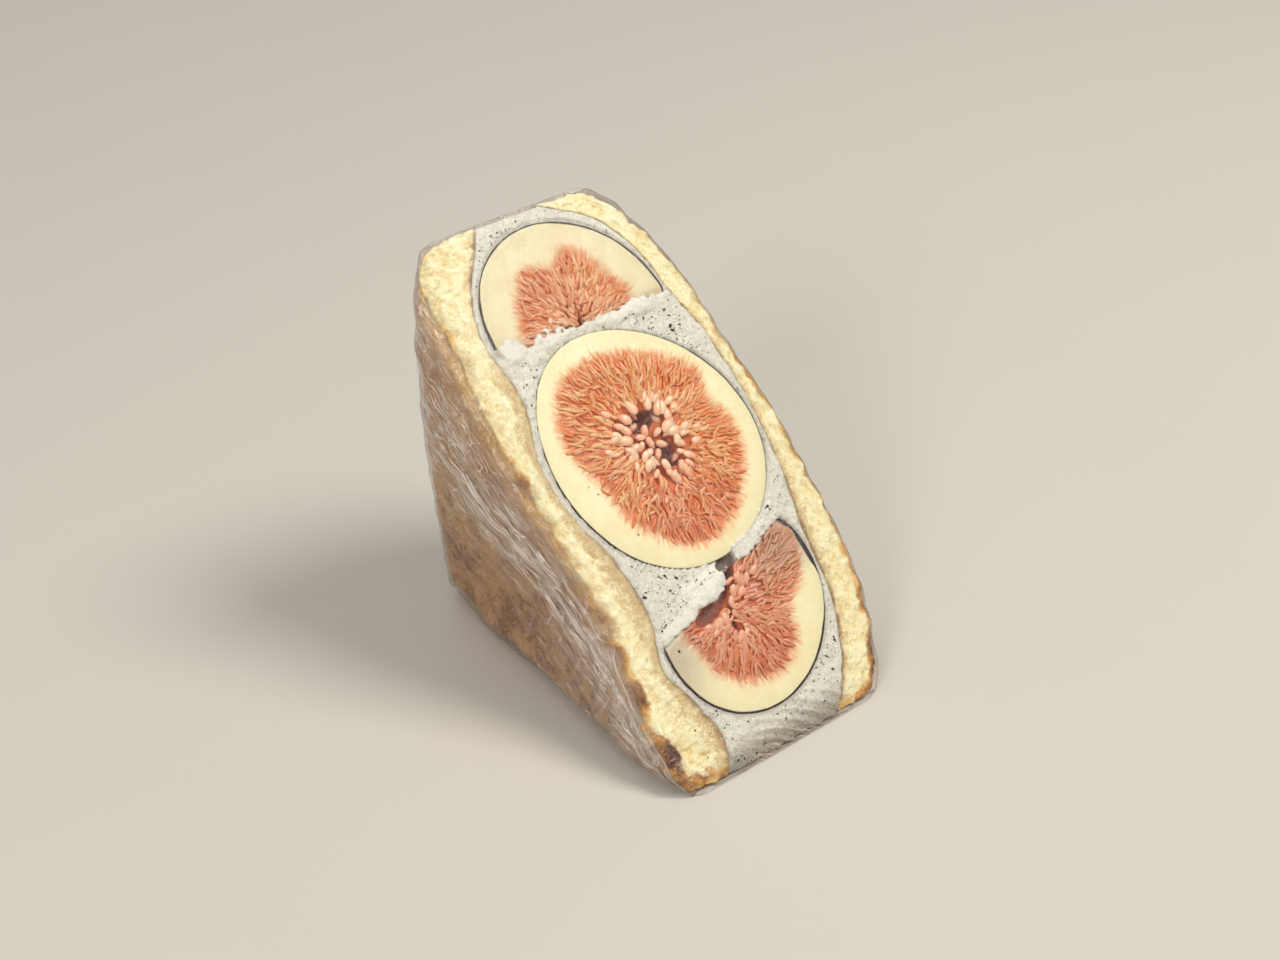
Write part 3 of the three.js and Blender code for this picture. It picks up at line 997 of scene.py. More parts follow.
def thread_mesh(name, fig, rng):
    """Wavy threads that run from the flesh towards a fig's open middle, cut off level with its face"""
    width, length = sizes().thread_width / MM, sizes().thread_length / MM
    x, y, heading, row = spread_rows(fig, np.arange(*fig["rows"], -ROW_STEP), width * 0.98, rng)
    long = length * rng.uniform(0.7, 1.25, len(x)) * mix(1, 0.75, smooth_step(row, 1.0, 0.45))
    long = np.minimum(long, 0.85 * np.hypot(x - fig["core"][0], y - fig["core"][1]))
    end_x, end_y = x + long * np.cos(heading), y + long * np.sin(heading)
    spill = fig["spill"] * smooth_step(fig["core"][0] - x, 5, 9)
    kept = egg_share(fig, x, y) < THREAD_RIM
    kept &= inside_flat(fig, x, y) > np.abs(rng.normal(0, 0.5, len(x))) - spill
    kept &= (in_hollow(fig, end_x, end_y) > 0.95) & (in_hollow(fig, x, y) > 1.1)
    kept &= in_hollow(fig, (x + end_x) / 2, (y + end_y) / 2) > 1
    kept &= (row < FRINGE) | (rng.random(len(x)) < FRINGE_KEPT)
    for other in FIGS.values():
        if other is not fig:
            kept &= (egg_share(other, x, y) > NEIGHBOUR_RIM) | (inside_flat(other, x, y) < 0)
    x, y, heading, row, long = (values[kept] for values in (x, y, heading, row, long))

    count = len(x)
    pattern, triangles = thread_pattern(5, 10, 0.45)
    px, along, pz = pattern.T
    inward = smooth_step(row, 1.0, 0.45)
    wide = width * rng.uniform(0.7, 1.25, count) * mix(0.95, 1.25, inward) * np.where(row > FRINGE, 0.7, 1)
    crinkled = smooth_step(fig["core"][1] - y, 8, 20) * (row < 0.9)
    astray = np.where(rng.random(count) < ASTRAY, rng.uniform(-0.8, 0.8, count), 0)
    heading = heading + rng.normal(0, 0.16, count) * (1 + 1.5 * crinkled) + astray
    wave = rng.uniform(0.1, 0.36, (count, 1)) * (1 + crinkled[:, None])
    turns = rng.uniform(3, 8, (count, 1))
    sway = wave * np.sin(along * turns + rng.uniform(0, 6.3, (count, 1)))
    bend = rng.normal(0, 1.5, (count, 1)) * along * (1 - along)
    side = px * wide[:, None] + sway + bend
    level = rng.uniform(-0.26, 0.04, (count, 1)) + 0.15 * along
    level = level - 0.5 * smooth_step(row, 0.9, 1.06)[:, None] * (1 - along) ** 2
    z = levelled(pz * wide[:, None] * 0.9 + level, 0.3)
    points = laid(x, y, heading, along * long[:, None], side, z)
    mesh = joined_mesh(name, points, triangles)
    pulp_notes(mesh, fig, points, along, rng.random(count))
    note(mesh, "inward", np.repeat(inward, len(along)))
    return mesh


THREAD_TIP = colour(255, 218, 170)


def thread_finish(name):
    """Orange threads, paler at their tips and towards the fig's middle; painted shade darkens them down
    between one another and, in part, on a pale fig's left
    """
    c = colours()
    finish = Finish(name)
    fine = finish.noise(finish.cut_place(), 0.6, 2.0)
    along, tint, height = finish.noted("along"), finish.noted("tint"), finish.noted("height")
    inward, ruddy = finish.noted("inward"), finish.noted("ruddy")
    between = finish.blend(ruddy, c.bed, RUDDY_BED)
    light = finish.blend(ruddy, c.pale_pulp, c.rosy_pulp)
    # deep darkens a pale fig's left side, partly as painted shade
    deep = (tint - 0.6) * 1.4 + (fine - 0.5) + finish.noted("deep") * 0.5
    pale = (0.75 - tint) * 0.9 + inward * 0.25 + (fine - 0.5) * 1.4 + along * 0.25
    tips = (1 - along.between(0.0, 0.5)) * (1 - inward) * (1 - ruddy * 0.6) * 0.7
    body = finish.painted(
        c.pulp,
        (ruddy, c.ruddy_pulp),
        (deep.between(0.0, 0.7) * 0.6, between),
        (pale.between(0.1, 0.9) * 0.8, light),
        (tips, THREAD_TIP),
        # Darker where a thread lies low between the others: painted shade
        ((1 - height.between(-0.75, -0.2)) * 0.6, between),
        (finish.noted("dull") * 0.85, c.dull_pulp),
    )
    return finish.food(body, 0.34, finish.bump(fine, 0.2 * MM, 0.4), 0.25, (1.2, 0.5, 0.3))


SEED_ROWS = np.array((0.58, 0.49, 0.41, 0.33, 0.26))  # as shares of the pulp's reach
HALF_FIG_SEED = 0.72  # length of a halved fig's seeds beside a whole one's
LUMP_LENGTH = (2.8, 3.5)

ORANGE_SEED = colour(238, 156, 118)
RUDDY_SEED = colour(224, 140, 120)
LOW_SEED_SHADE = colour(206, 134, 122)


def seed_mesh(name, fig, rng):
    """Plump seeds round the open middle, pointing into it, and lumps down inside it"""
    length = sizes().seed_length / MM
    reach = 0.4 * sizes().seed_length / MM
    x, y, heading, _ = spread_rows(fig, SEED_ROWS, length * 0.56, rng)
    hollow = in_hollow(fig, x, y)
    kept = rng.random(len(x)) < mix(0.95, 0.1, smooth_step(hollow, 1.5, 2.6))
    kept &= (inside_flat(fig, x, y) > 0.4) & (hollow > 1.0) & (hollow < 3.5)
    kept &= in_hollow(fig, x + reach * np.cos(heading), y + reach * np.sin(heading)) > 0.85
    x, y, heading = x[kept], y[kept], heading[kept] + rng.normal(0, 0.35, kept.sum())
    level = rng.uniform(-0.4, 0.0, len(x))
    long = length * rng.uniform(0.75, 1.2, len(x))
    long *= mix(1.0, 0.75, smooth_step(in_hollow(fig, x, y), 1.4, 2.6))
    if fig["flat"]:
        long *= HALF_FIG_SEED
        heading += rng.uniform(-1.2, 1.2, len(x))
    lump_x, lump_y, turn, height = np.array(fig["lumps"]).reshape(-1, 4).T
    x, y, heading = np.append(x, lump_x), np.append(y, lump_y), np.append(heading, np.radians(turn))
    level = np.append(level, height)
    long = np.append(long, rng.uniform(*LUMP_LENGTH, len(lump_x)))

    count = len(x)
    pattern, triangles = thread_pattern(8, 8, 0.3)
    px, along, pz = pattern.T
    wide = long * rng.uniform(0.54, 0.7, count)
    side = px * wide[:, None] + rng.normal(0, 0.5, (count, 1)) * along * (1 - along)
    z = levelled(pz * wide[:, None] * 0.9 + level[:, None] + 0.3 * along, 0.4)
    points = laid(x, y, heading, (along - 0.5) * long[:, None], side, z)
    mesh = joined_mesh(name, points, triangles)
    pulp_notes(mesh, fig, points, along, rng.random(count))
    return mesh


def seed_finish(name):
    """Pale peach seeds, turning darker mauve the lower they lie in the fig: painted shade"""
    c = colours()
    finish = Finish(name)
    clouds = finish.noise(finish.cut_place(), 1.6, 2.0)
    along, tint, height = finish.noted("along"), finish.noted("tint"), finish.noted("height")
    body = finish.painted(
        c.seed,
        (tint * 0.5 + (clouds - 0.5) * 1.2, ORANGE_SEED),
        (finish.noted("ruddy") * 0.6, RUDDY_SEED),
        ((1 - along.between(0.0, 0.45)) * 0.35, c.bed),
        # Darker the lower a seed lies: painted shade down in the fig
        ((1 - height.between(-1.3, -0.1)) * 0.8, LOW_SEED_SHADE),
        ((1 - height.between(-3.0, -1.4)) * 0.9, c.hollow),
        (finish.noted("dull") * 0.7, c.dull_pulp),
    )
    return finish.food(body, 0.3, finish.bump(clouds, 0.3 * MM, 0.4), 0.2, (1.2, 0.6, 0.4))


# Cream

CREAM_ROWS = {"across": 120, "along": 320, "deep": 40}
CREAM_PACK = 1.3
CREAM_INSET = 0.3  # how far it keeps in from the foot and the back
CREAM_OVERLAP = 0.6  # about how far it reaches into the crumb
HOLE_DEPTH = 3
# Tongues and lumps over the figs' edges: X, place up the cut, half width, half height, turn and height
CREAM_LUMPS = (
    (25.4, 39.8, 7.4, 3.6, 16, 0.8), (18, 35.8, 6.5, 1.9, 16, 0.35), (8.4, 106, 3.8, 3.6, 20, 0.45),
    (14, 103, 4, 2, 14, 0.45), (19.4, 104.3, 4.6, 2, 8, 0.6), (15.8, 106.1, 1.7, 0.9, 40, 0.7),
    (18.9, 106.9, 1.7, 0.7, -20, 0.7), (21.4, 106.2, 1.5, 0.8, 10, 0.7), (36, 103.8, 4.5, 1.5, 2, 0.6),
    (43.5, 104.6, 5, 1.9, -2, 0.5), (39.5, 45.6, 3.6, 1.3, 18, 0.6), (45, 47.4, 3.4, 1.2, 20, 0.55),
    (50.5, 50.2, 2.6, 1, 35, 0.45),
)

COOL_CREAM = colour(208, 211, 211)
GROUND_SEED = colour(112, 114, 118)
BRIGHT_CREAM = colour(244, 243, 236)
WHIPPED_CREAM = colour(246, 245, 238)
# Mauve beside the figs' skins, and painted shade down in the cream's hole
MAUVE_AND_HOLE_SHADE = colour(118, 88, 84)
SHADOWED_CREAM = colour(112, 106, 94)


def cream_level(points):
    """Height of the cream's face: low swells, lumps at the figs' edges and folds near its foot"""
    x, y, _ = points.T
    level = -0.52 + 0.5 * layered(points, 5.5, 1) + 0.3 * grain(points, 1.5, 5) + 0.2 * grain(points, 0.6, 7)
    return level + lump_share(points) + fold_at(x, y)


def lump_share(points):
    """How far a place is raised by the lumps at the figs' edges"""
    x, y, _ = points.T
    raised = 0 * x
    for at_x, at_y, half_x, half_y, turn, height in CREAM_LUMPS:
        across, up = turned(x - at_x, y - at_y, -turn)
        share = np.hypot(across / half_x, up / half_y) + 0.6 * (grain(points, 1.3, 9) - 0.5)
        raised = np.maximum(raised, height * (1 - smooth_step(share, 0.7, 1.1)))
    return raised


def fold_at(x, y):
    """Diagonal folds pressed into the cream at its foot"""
    across = x * 0.52 + y * 0.85
    wander = grain(stacked(x / 9, y / 9, 0), 1.0, 3)
    near = (1 - smooth_step(y, 5, 11)) * smooth_step(x, 19, 24) * (1 - smooth_step(x, 43, 50))
    ridge = (1 - np.abs(2 * ((across / 2.3 + 1.6 * wander) % 1) - 1)) ** 1.5
    return near * (ridge - 0.4) * 0.6


def ragged(y, z, phase):
    """How far the cream reaches into the crumb"""
    return CREAM_OVERLAP * (0.3 + 1.6 * layered(stacked(y, z, phase), 2.2, phase))


def cream_low_x(y, z):
    return left_crumb_x(y, z) - ragged(y, z, 1)


def cream_high_x(y, z):
    return right_crumb_x(y, z) + ragged(y, z, 2)


def cream_mesh():
    """The cream's block, scooped out behind the figs, mauve beside their skins and darkened with painted
    shade down in its hole
    """
    mesh = mesh_from(fine_block(**CREAM_ROWS), "cream_filling")
    unit = points_of(mesh)
    points = block_points(unit, cream_low_x, cream_high_x, inset=CREAM_INSET, pack=CREAM_PACK)
    x, y, z = points.T
    face = unit[:, 2] > 0.499
    level = cream_level(points)
    whipped = lump_share(points)
    mauve_and_hole_shade = 0 * x
    for fig in FIGS.values():
        share = egg_share(fig, x, y)
        inside = inside_flat(fig, x, y)
        strong = smooth_step(skin_width(fig, x, y), 0.1, 0.4)
        beside = (1 - smooth_step((share - 1) * min(fig["half"]), 0.3, 1.0)) * smooth_step(inside, -0.5, 0.5)
        beside *= share > 0.985
        level = mix(level, np.minimum(level, mix(0, -0.18, strong)), beside)
        bowl = -fig["deep"] * np.sqrt(np.clip(1 - (share + 0.01) ** 2, 0, 1)) - 0.6
        ragged_side = 0.5 + 2.6 * (layered(points, 3, 12) - 0.4).clip(0, 1)
        level += 0.3 * (1 - smooth_step(np.abs(inside), 0.5, 2.5)) * (share < 0.97)
        within = (share < 0.99) & (inside > ragged_side) & (whipped < 0.2)
        level = np.where(within, np.minimum(level, bowl), level)
        off_skin = np.abs(share - 1) * min(fig["half"]) + 1.2 * (layered(points, 5, 6) - 0.5)
        near_skin = (1 - smooth_step(off_skin, 0.1, 1.2)) * smooth_step(inside, 0, 1)
        mauve_and_hole_shade = np.maximum(mauve_and_hole_shade, 0.4 * strong * near_skin)

    # Painted shade down in the hole that runs on into the cream above the bottom fig
    hole = hollow_share(CREAM_HOLE, x, y)
    sunk = (1 - smooth_step(hole, 0.8, 1.4)) * (1 - smooth_step(whipped, 0.1, 0.4))
    level -= HOLE_DEPTH * sunk
    mauve_and_hole_shade = np.maximum(mauve_and_hole_shade, smooth_step(sunk, 0.1, 0.6))
    edge = smooth_step(np.abs(unit[:, 0]), 0.48, 0.5)
    behind = np.clip(1 + z / 4, 0, 1)
    points[:, 2] += np.where(face, level - 0.5 * edge, -0.5 * behind) - roll_at(y) * behind
    rough = 0.5 * (layered(points, 2.4, 2) - 0.5) * smooth_step(-z, 1, 3)
    points[:, 1] += rough
    points[:, 2] -= rough * 0.3
    keep_square(points)
    put_points(mesh, points)
    note(mesh, "whipped", whipped)
    note(mesh, "low", 1 - smooth_step(y, -1, 9))
    note(mesh, "mauve_and_hole_shade", mauve_and_hole_shade)
    return mesh


def cream_finish():
    """Grey-white cream, clouded with fine ground seed"""
    c = colours()
    finish = Finish("cream")
    place = finish.cut_place()
    clouds = finish.noise(place, 4.0, 3.0)
    dust = finish.noise(place, 0.9, 3.0, 0.6)
    dots = finish.cells(place, 0.8)
    whipped = finish.noted("whipped") + (dust - 0.5)
    tint = finish.painted(
        c.cream,
        ((clouds - 0.42) * 1.4, COOL_CREAM),
        (dust.between(0.53, 0.7) * clouds.between(0.3, 0.6) * 0.8, c.shade),
        ((1 - dots.between(0.1, 0.28)) * 0.45 * dust.between(0.4, 0.6), GROUND_SEED),
        ((1 - dust.between(0.3, 0.46)) * 0.5, BRIGHT_CREAM),
        (whipped.between(0.15, 0.6) * 0.45, WHIPPED_CREAM),
        (finish.noted("mauve_and_hole_shade") * 0.85, MAUVE_AND_HOLE_SHADE),
        (finish.noted("low") * 0.8, SHADOWED_CREAM),
    )
    return finish.food(tint, 0.5, finish.bump(dust + clouds, 0.6 * MM, 0.7), 0.3, (1.6, 1.4, 1.2))


SPECKS = 900
SPECK_TRIES = 7  # places tried for each speck
# Strays on the flesh and the crumb: lowest and highest X, lowest and highest place up the cut, how many
STRAY_SPECKS = ((5, 20, 56, 76, 26), (9, 13, 30, 50, 8), (6, 11, 4, 14, 5))
GREY_SPECK = colour(92, 84, 84)


def speck_mesh(rng):
    """Dark flakes and seeds scattered over the cream, with a few on the flesh and the crumb"""
    size = sizes().speck_size / MM
    tries = SPECKS * SPECK_TRIES
    x, y = rng.uniform(2, 60, tries), rng.uniform(1.5, CUT - 1.5, tries)
    on_cream = (x > left_crumb_x(y, 0 * y) + 0.5) & (x < right_crumb_x(y, 0 * y) - 0.5)
    for fig in FIGS.values():
        on_cream &= (egg_share(fig, x, y) > 1.02) | (inside_flat(fig, x, y) < -0.3)
    clustered = layered(stacked(x, y, 0), 7, 4) + rng.normal(0, 0.12, tries) > 0.47
    kept = np.flatnonzero(on_cream & clustered)[:SPECKS]
    x, y = x[kept], y[kept]
    z = cream_level(stacked(x, y, 0))
    stray_x = np.concatenate([rng.uniform(low, high, many) for low, high, _, _, many in STRAY_SPECKS])
    stray_y = np.concatenate([rng.uniform(low, high, many) for _, _, low, high, many in STRAY_SPECKS])
    middle = FIGS["fig_middle"]
    _, away, reach = pulp_place(middle, stray_x, stray_y)
    fits = (egg_share(middle, stray_x, stray_y) < 0.95) & (away > reach + 0.5) | (stray_y < 50)
    x, y = np.append(x, stray_x[fits]), np.append(y, stray_y[fits])
    z = np.append(z, np.full(fits.sum(), -0.05))

    count = len(x)
    bm = bmesh.new()
    bmesh.ops.create_icosphere(bm, subdivisions=1, radius=0.5)
    pattern, triangles = pattern_of(bm)
    wide = size * np.exp(rng.normal(-0.25, 0.42, count)).clip(0.4, 2.1)
    turn = rng.uniform(0, 2 * math.pi, count)
    scale = np.stack((wide * rng.uniform(0.8, 1.9, count), wide, wide * 0.5), axis=1)
    shape = pattern[None] * scale[:, None]
    shape *= 1 + rng.normal(0, 0.12, (count, len(pattern), 1))
    points = laid(x, y, turn, shape[:, :, 0], shape[:, :, 1], z[:, None] + shape[:, :, 2])
    return joined_mesh("cream_specks", points, triangles)


def speck_finish():
    finish = Finish("specks")
    mottled = finish.noise(finish.cut_place(), 0.5, 2.0)
    tint = finish.blend(mottled.between(0.45, 0.8), colours().speck, GREY_SPECK)
    return finish.shown(finish.surface(Base_Color=tint, Roughness=0.5, Normal=finish.bump(mottled, 0.1 * MM)))


# Film

FILM_ROWS = {"across": 60, "along": 132, "deep": 78}
FILM_PACK = 1.25
FILM_HUG = 0.1  # how far the film stands off the crust
FACE_HUG = 0.22  # and off the cut face
TIP_HUG = 0.5  # and off its foot and its top
FILM_ROLL = 1.4  # how far the film rolls back where it turns from the cut face to a side
FILM_TUCK = 0.4  # and how far it is drawn in there
FILM_ROOM = 0.14  # room kept for its wall inside the planes of the foot and the back
FOLD_RISE = 0.4
LOW_POLE = (-12, 5)  # where the left side's folds are drawn together: place up the cut and Z
HIGH_POLE = (CUT + 14, 6)  # and the right side's

FILM_ON_CRUST = colour(208, 166, 130)
# Colour of the painted glints on the gathered film
GLINT = colour(255, 252, 248)


def fan_place(y, z, pole_y, pole_z):
    """A side's places as angle and distance about a point where the film is drawn together"""
    return np.arctan2(pole_z - z, y - pole_y), np.hypot(y - pole_y, z - pole_z)


def film_mesh():
    """The film, stretched flat over the cut face and gathered into folds on the two sides"""
    mesh = mesh_from(fine_block(**FILM_ROWS), "film_wrap")
    unit = points_of(mesh)
    x, y, z = block_points(unit, lowest_x, highest_x, pack=FILM_PACK).T
    left, right, face = unit[:, 0] < -0.499, unit[:, 0] > 0.499, unit[:, 2] > 0.499
    low_angle, low_away = fan_place(y, z, *LOW_POLE)
    high_angle, high_away = fan_place(y, z, *HIGH_POLE)
    pulls = (
        stacked(low_angle * 62, low_away / 34, 0),
        stacked(high_angle * 55, high_away / 30, 7),
        stacked((x * 0.5 + y * 0.87) / 1.3, (x * 0.87 - y * 0.5) / 12, 3),
    )
    pull = np.select([side[:, None] for side in (left, right, face)], pulls, stacked(x / 1.2, y / 14, 13))
    folds = (1 - np.abs(2 * grain(pull * (0.3, 1, 1), 1.0) - 1)) ** 3
    folds = FOLD_RISE * folds * smooth_step(-z, 0, 3)

    def low(y, z):
        return left_crust_x(y, z) + 0.85 * crag_at(y, z, 0) - FILM_HUG - np.where(left, folds, 0)

    def high(y, z):
        return right_crust_x(y, z) - 0.85 * crag_at(y, z, 2) + FILM_HUG + np.where(right, folds, 0)

    points = block_points(unit, low, high, pack=FILM_PACK)
    grow = GAP + FILM
    scale = 1 + grow / INRADIUS
    points[:, 1] = CUT / 2 + (points[:, 1] - CUT / 2) * scale
    points[:, 2] = -INRADIUS + (points[:, 2] + INRADIUS) * scale
    points[:, 2] -= (grow - FACE_HUG) * smooth_step(points[:, 2], -3, grow)
    points[:, 1] = np.clip(points[:, 1], -TIP_HUG, CUT + TIP_HUG)
    to_side = np.minimum(points[:, 0] - low(y, z), high(y, z) - points[:, 0])
    rolled = FILM_ROLL * (1 - smooth_step(to_side, -0.5, 3.4)) + roll_at(y)
    points[:, 2] -= rolled * np.clip(1 + z / 5, 0, 1)
    drawn_in = FILM_TUCK * smooth_step(z, -3, 0)
    points[:, 0] = np.clip(points[:, 0], low(y, z) + drawn_in, high(y, z) - drawn_in)
    keep_square(points, (grow - FILM_ROOM) * math.sqrt(2))
    put_points(mesh, points)

    near = 1 - smooth_step(-z, 12, 40)
    bundle = np.exp(-(((low_angle - 0.25) / 0.08) ** 2)) * (1 - 0.5 * smooth_step(low_away, 50, 110))
    bundle += 0.9 * (1 - smooth_step(low_away, 18, 46)) * (1 - smooth_step(low_angle, 0.5, 0.7))
    foot = (1 - smooth_step(y, 0, 11)) * smooth_step(x, 12, 20) * (1 - smooth_step(x, 42, 50))
    creased = smooth_step(x - low(y, z), 5, 0) * smooth_step(layered(stacked(y, z, x), 7, 8), 0.5, 0.6)
    gathers = [0.25 * near + bundle, 0.6 * near, 0.35 * foot + 0.3 * creased]
    hazes = [0.3 + 0.3 * near + 0.4 * bundle, 0.5, 0.5 * creased]
    note(mesh, "pull", pull)
    note(mesh, "gather", np.select([left, right, face], gathers, 0.3))
    note(mesh, "haze", np.select([left, right, face], hazes, 0.4))
    return mesh


def film_finish():
    """Clear film, hazy and streaked white where it is gathered, the white streaks partly painted highlights,
    with painted glints
    """
    finish = Finish("film")
    place = finish.cut_place()
    pull = finish.noted("pull", "Vector")
    gather, haze = finish.noted("gather"), finish.noted("haze")
    fine = finish.noise(pull, 0.3, 2.0, 0.6)
    broad = finish.noise(pull, 3.0, 2.0)
    clouds = finish.noise(place, 9.0, 2.0)
    patches = finish.noise(place, 3.0, 3.0)
    creases = finish.cells(finish.wandering(place, 6.0, 6.0), 8.0, "DISTANCE_TO_EDGE")
    hairs = 1 - (fine - 0.5).maths("ABSOLUTE").between(0.0, 0.03)
    streaks = (fine * 0.6 + broad * 0.4).between(0.5, 0.6)
    # Painted glints on the fine streaks of the gathered film
    glints = fine.between(0.57, 0.66) * (gather + haze * clouds.between(0.45, 0.6) * 0.4)
    lines = hairs * clouds.between(0.3, 0.55) * (haze * 0.5 + gather * 0.5)
    lines = lines + streaks * gather * 0.7 + glints * 0.5
    wrinkles = (1 - creases.between(0.0, 0.03)) * patches.between(0.4, 0.6) * haze
    veil = 0.1 + broad.between(0.4, 0.65) * 0.2 + patches.between(0.4, 0.7) * 0.2
    # White along the lines and wrinkles: partly the milky look of gathered film, partly painted highlights
    # where its folds catch light
    white = (lines + wrinkles * 0.5).between(0.04, 0.32)
    tint = finish.painted(FILM_ON_CRUST, (white, colours().haze), (glints, GLINT))
    normal = finish.bump(fine * 0.6 + broad + patches * 0.6, 0.8 * MM, 0.9)
    cloth = finish.surface(Base_Color=tint, Roughness=0.28, Normal=normal)
    clear = finish.node("ShaderNodeBsdfTransparent")
    milky = lines * 0.9 + wrinkles * 0.6 + haze * veil
    body = finish.node("ShaderNodeMixShader", None, {"Fac": milky, 1: clear, 2: cloth})
    facing = finish.node("ShaderNodeLayerWeight", None, {"Blend": 0.5, "Normal": normal}, out="Facing")
    shine = finish.node("ShaderNodeBsdfGlossy", None, {"Roughness": 0.1, "Normal": normal})
    mirror = 0.02 + haze * 0.05 + lines * 0.12 + fine.between(0.58, 0.7) * gather * 0.2 + (facing**5.0) * 0.4
    return finish.shown(finish.node("ShaderNodeMixShader", None, {"Fac": mirror, 1: body, 2: shine}))


# Stage

LENS = 59.06
SENSOR = 36
CAMERA_PITCH = math.radians(35.79)
CAMERA_HEADING = math.radians(38.84)
CAMERA_FROM_FOOT = (-215.2, -248.2, 322.4)  # millimetres from the sandwich's foot corner
FLOOR_REACH = 2  # metres from its middle to its sides
FLOOR_PATCH = colour(190, 187, 182)
SKY = colour(244, 243, 240)
SKY_STRENGTH = 0.3
# Each lamp's name, place and width in metres, power and tint
LAMPS = (
    ("key", (0.5, -0.35, 0.95), 0.45, 8.2, colour(255, 249, 234)),
    ("top", (-0.1, 0.5, 1.1), 0.8, 2.5, colour(255, 251, 244)),
    ("left", (-0.7, -0.25, 0.55), 0.3, 2.6, colour(255, 246, 234)),
)


def add_camera():
    data = bpy.data.cameras.new("camera")
    data.lens = LENS
    data.sensor_width = SENSOR
    data.clip_start = 0.01
    camera = bpy.data.objects.new("camera", data)
    level = math.cos(CAMERA_PITCH)
    ahead = Vector(
        (math.sin(CAMERA_HEADING) * level, math.cos(CAMERA_HEADING) * level, -math.sin(CAMERA_PITCH))
    )
    camera.location = FOOT + Vector(CAMERA_FROM_FOOT) * MM
    camera.rotation_mode = "QUATERNION"
    camera.rotation_quaternion = ahead.to_track_quat("-Z", "Y")
    bpy.context.scene.collection.objects.link(camera)
    bpy.context.scene.camera = camera


def add_lamp(name, place, size, power, tint):
    data = bpy.data.lights.new(name, "AREA")
    data.energy = power
    data.shape = "DISK"
    data.size = size
    data.color = tint[:3]
    lamp = bpy.data.objects.new(name, data)
    lamp.location = place
    lamp.rotation_mode = "QUATERNION"
    lamp.rotation_quaternion = (-Vector(place)).to_track_quat("-Z", "Y")
    bpy.context.scene.collection.objects.link(lamp)


def add_floor():
    bm = bmesh.new()
    bmesh.ops.create_grid(bm, x_segments=1, y_segments=1, size=FLOOR_REACH)
    finish = Finish("floor")
    mottled = finish.noise(finish.node("ShaderNodeTexCoord", out="Object"), 0.05)
    tint = finish.blend((mottled - 0.5) * 0.15, colours().floor, FLOOR_PATCH)
    mesh = mesh_from(bm, "floor")
    mesh.materials.append(finish.shown(finish.surface(Base_Color=tint, Roughness=0.7)))
    floor = bpy.data.objects.new("floor", mesh)
    bpy.context.scene.collection.objects.link(floor)


def set_sky():
    world = bpy.data.worlds.new("studio")
    world.use_nodes = True
    background = world.node_tree.nodes["Background"]
    background.inputs["Color"].default_value = SKY
    background.inputs["Strength"].default_value = SKY_STRENGTH
    bpy.context.scene.world = world


class StageOperator(bpy.types.Operator):
    """Adds the camera, the floor and the light"""

    bl_idname = "fig_sandwich.stage"
    bl_label = "Stage"

    def execute(self, context):
        add_camera()
        add_floor()
        set_sky()
        for lamp in LAMPS:
            add_lamp(*lamp)
        context.scene.view_settings.view_transform = "Standard"
        return {"FINISHED"}


class BreadOperator(bpy.types.Operator):
    """Makes the two slices"""

    bl_idname = "fig_sandwich.bread"
    bl_label = "Bread"

    def execute(self, context):
        finish = bread_finish()
        left = slice_mesh("left_slice", rough_crust(left_crust_x, 1, 0), left_crumb_x, -0.5, 0)
        settle(left, finish, ["bread_left"])
        right = slice_mesh("right_slice", right_crumb_x, rough_crust(right_crust_x, -1, 2), 0.5, 2)
        settle(right, finish, ["bread_right"])
        return {"FINISHED"}


class CreamOperator(bpy.types.Operator):
    """Makes the cream and its specks"""

    bl_idname = "fig_sandwich.cream"
    bl_label = "Cream"

    def execute(self, context):
        settle(cream_mesh(), cream_finish(), ["cream"])
        settle(speck_mesh(np.random.default_rng(5)), speck_finish())
        return {"FINISHED"}


class FigOperator(bpy.types.Operator):
    """Makes the figs' flesh and skin"""

    bl_idname = "fig_sandwich.figs"
    bl_label = "Figs"

    def execute(self, context):
        for name, fig in FIGS.items():
            mesh = fig_mesh(f"{name}_flesh", fig)
            settle(mesh, flesh_finish(f"{name}_flesh", fig), [name])
        return {"FINISHED"}


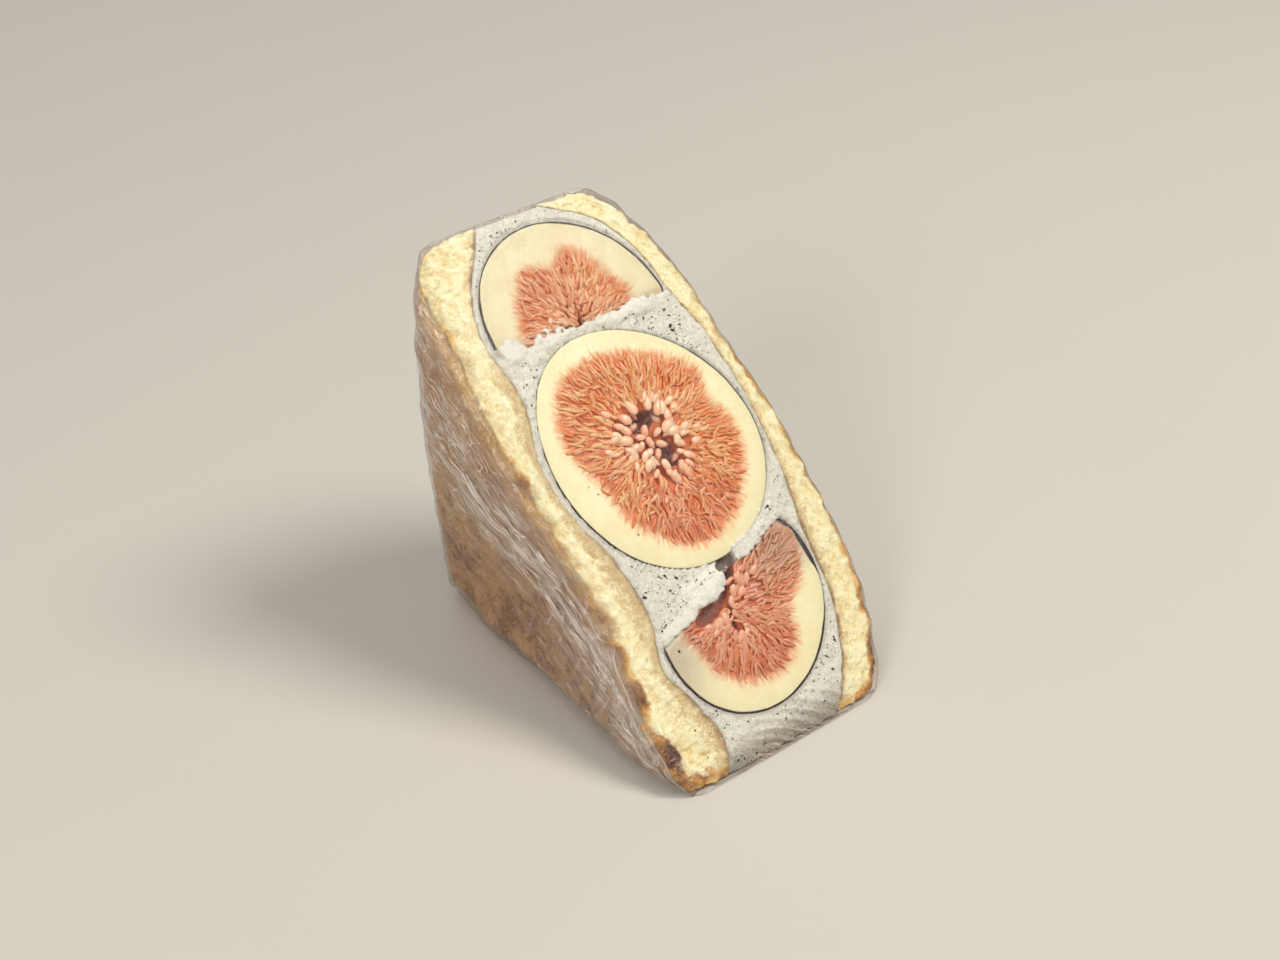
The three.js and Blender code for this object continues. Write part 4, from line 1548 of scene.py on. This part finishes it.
class PulpOperator(bpy.types.Operator):
    """Makes the figs' pulp: its threads and its seeds"""

    bl_idname = "fig_sandwich.pulp"
    bl_label = "Pulp"

    def execute(self, context):
        for i, (name, fig) in enumerate(FIGS.items()):
            rng = np.random.default_rng(21 + i)
            threads = thread_mesh(f"{name}_threads", fig, rng)
            settle(threads, thread_finish(f"{name}_threads"))
            seeds = seed_mesh(f"{name}_seeds", fig, rng)
            settle(seeds, seed_finish(f"{name}_seeds"))
        return {"FINISHED"}


class FilmOperator(bpy.types.Operator):
    """Wraps the sandwich in clear film"""

    bl_idname = "fig_sandwich.film"
    bl_label = "Film"

    def execute(self, context):
        film = settle(film_mesh(), film_finish(), ["film"])
        wall = film.modifiers.new("wall", "SOLIDIFY")
        wall.thickness = sizes().film_wall
        wall.offset = -1
        return {"FINISHED"}


STEPS = (StageOperator, BreadOperator, CreamOperator, FigOperator, PulpOperator, FilmOperator)


class SandwichPanel(bpy.types.Panel):
    """Lists the steps that build the sandwich"""

    bl_idname = "VIEW3D_PT_fig_sandwich"
    bl_label = "Fig Sandwich"
    bl_space_type = "VIEW_3D"
    bl_region_type = "UI"
    bl_category = "Fig Sandwich"

    def draw(self, context):
        for step in STEPS:
            self.layout.operator(step.bl_idname)
        for group in (context.scene.sandwich_sizes, context.scene.sandwich_colours):
            for name in group.__annotations__:
                self.layout.prop(group, name)


CLASSES = (SandwichColours, SandwichSizes, *STEPS, SandwichPanel)


def register():
    for one in CLASSES:
        bpy.utils.register_class(one)
    bpy.types.Scene.sandwich_colours = bpy.props.PointerProperty(type=SandwichColours)
    bpy.types.Scene.sandwich_sizes = bpy.props.PointerProperty(type=SandwichSizes)


def unregister():
    del bpy.types.Scene.sandwich_sizes
    del bpy.types.Scene.sandwich_colours
    for one in reversed(CLASSES):
        bpy.utils.unregister_class(one)


def main():
    register()
    bpy.ops.fig_sandwich.stage()
    bpy.ops.fig_sandwich.bread()
    bpy.ops.fig_sandwich.cream()
    bpy.ops.fig_sandwich.figs()
    bpy.ops.fig_sandwich.pulp()
    bpy.ops.fig_sandwich.film()


if __name__ == "__main__":
    main()
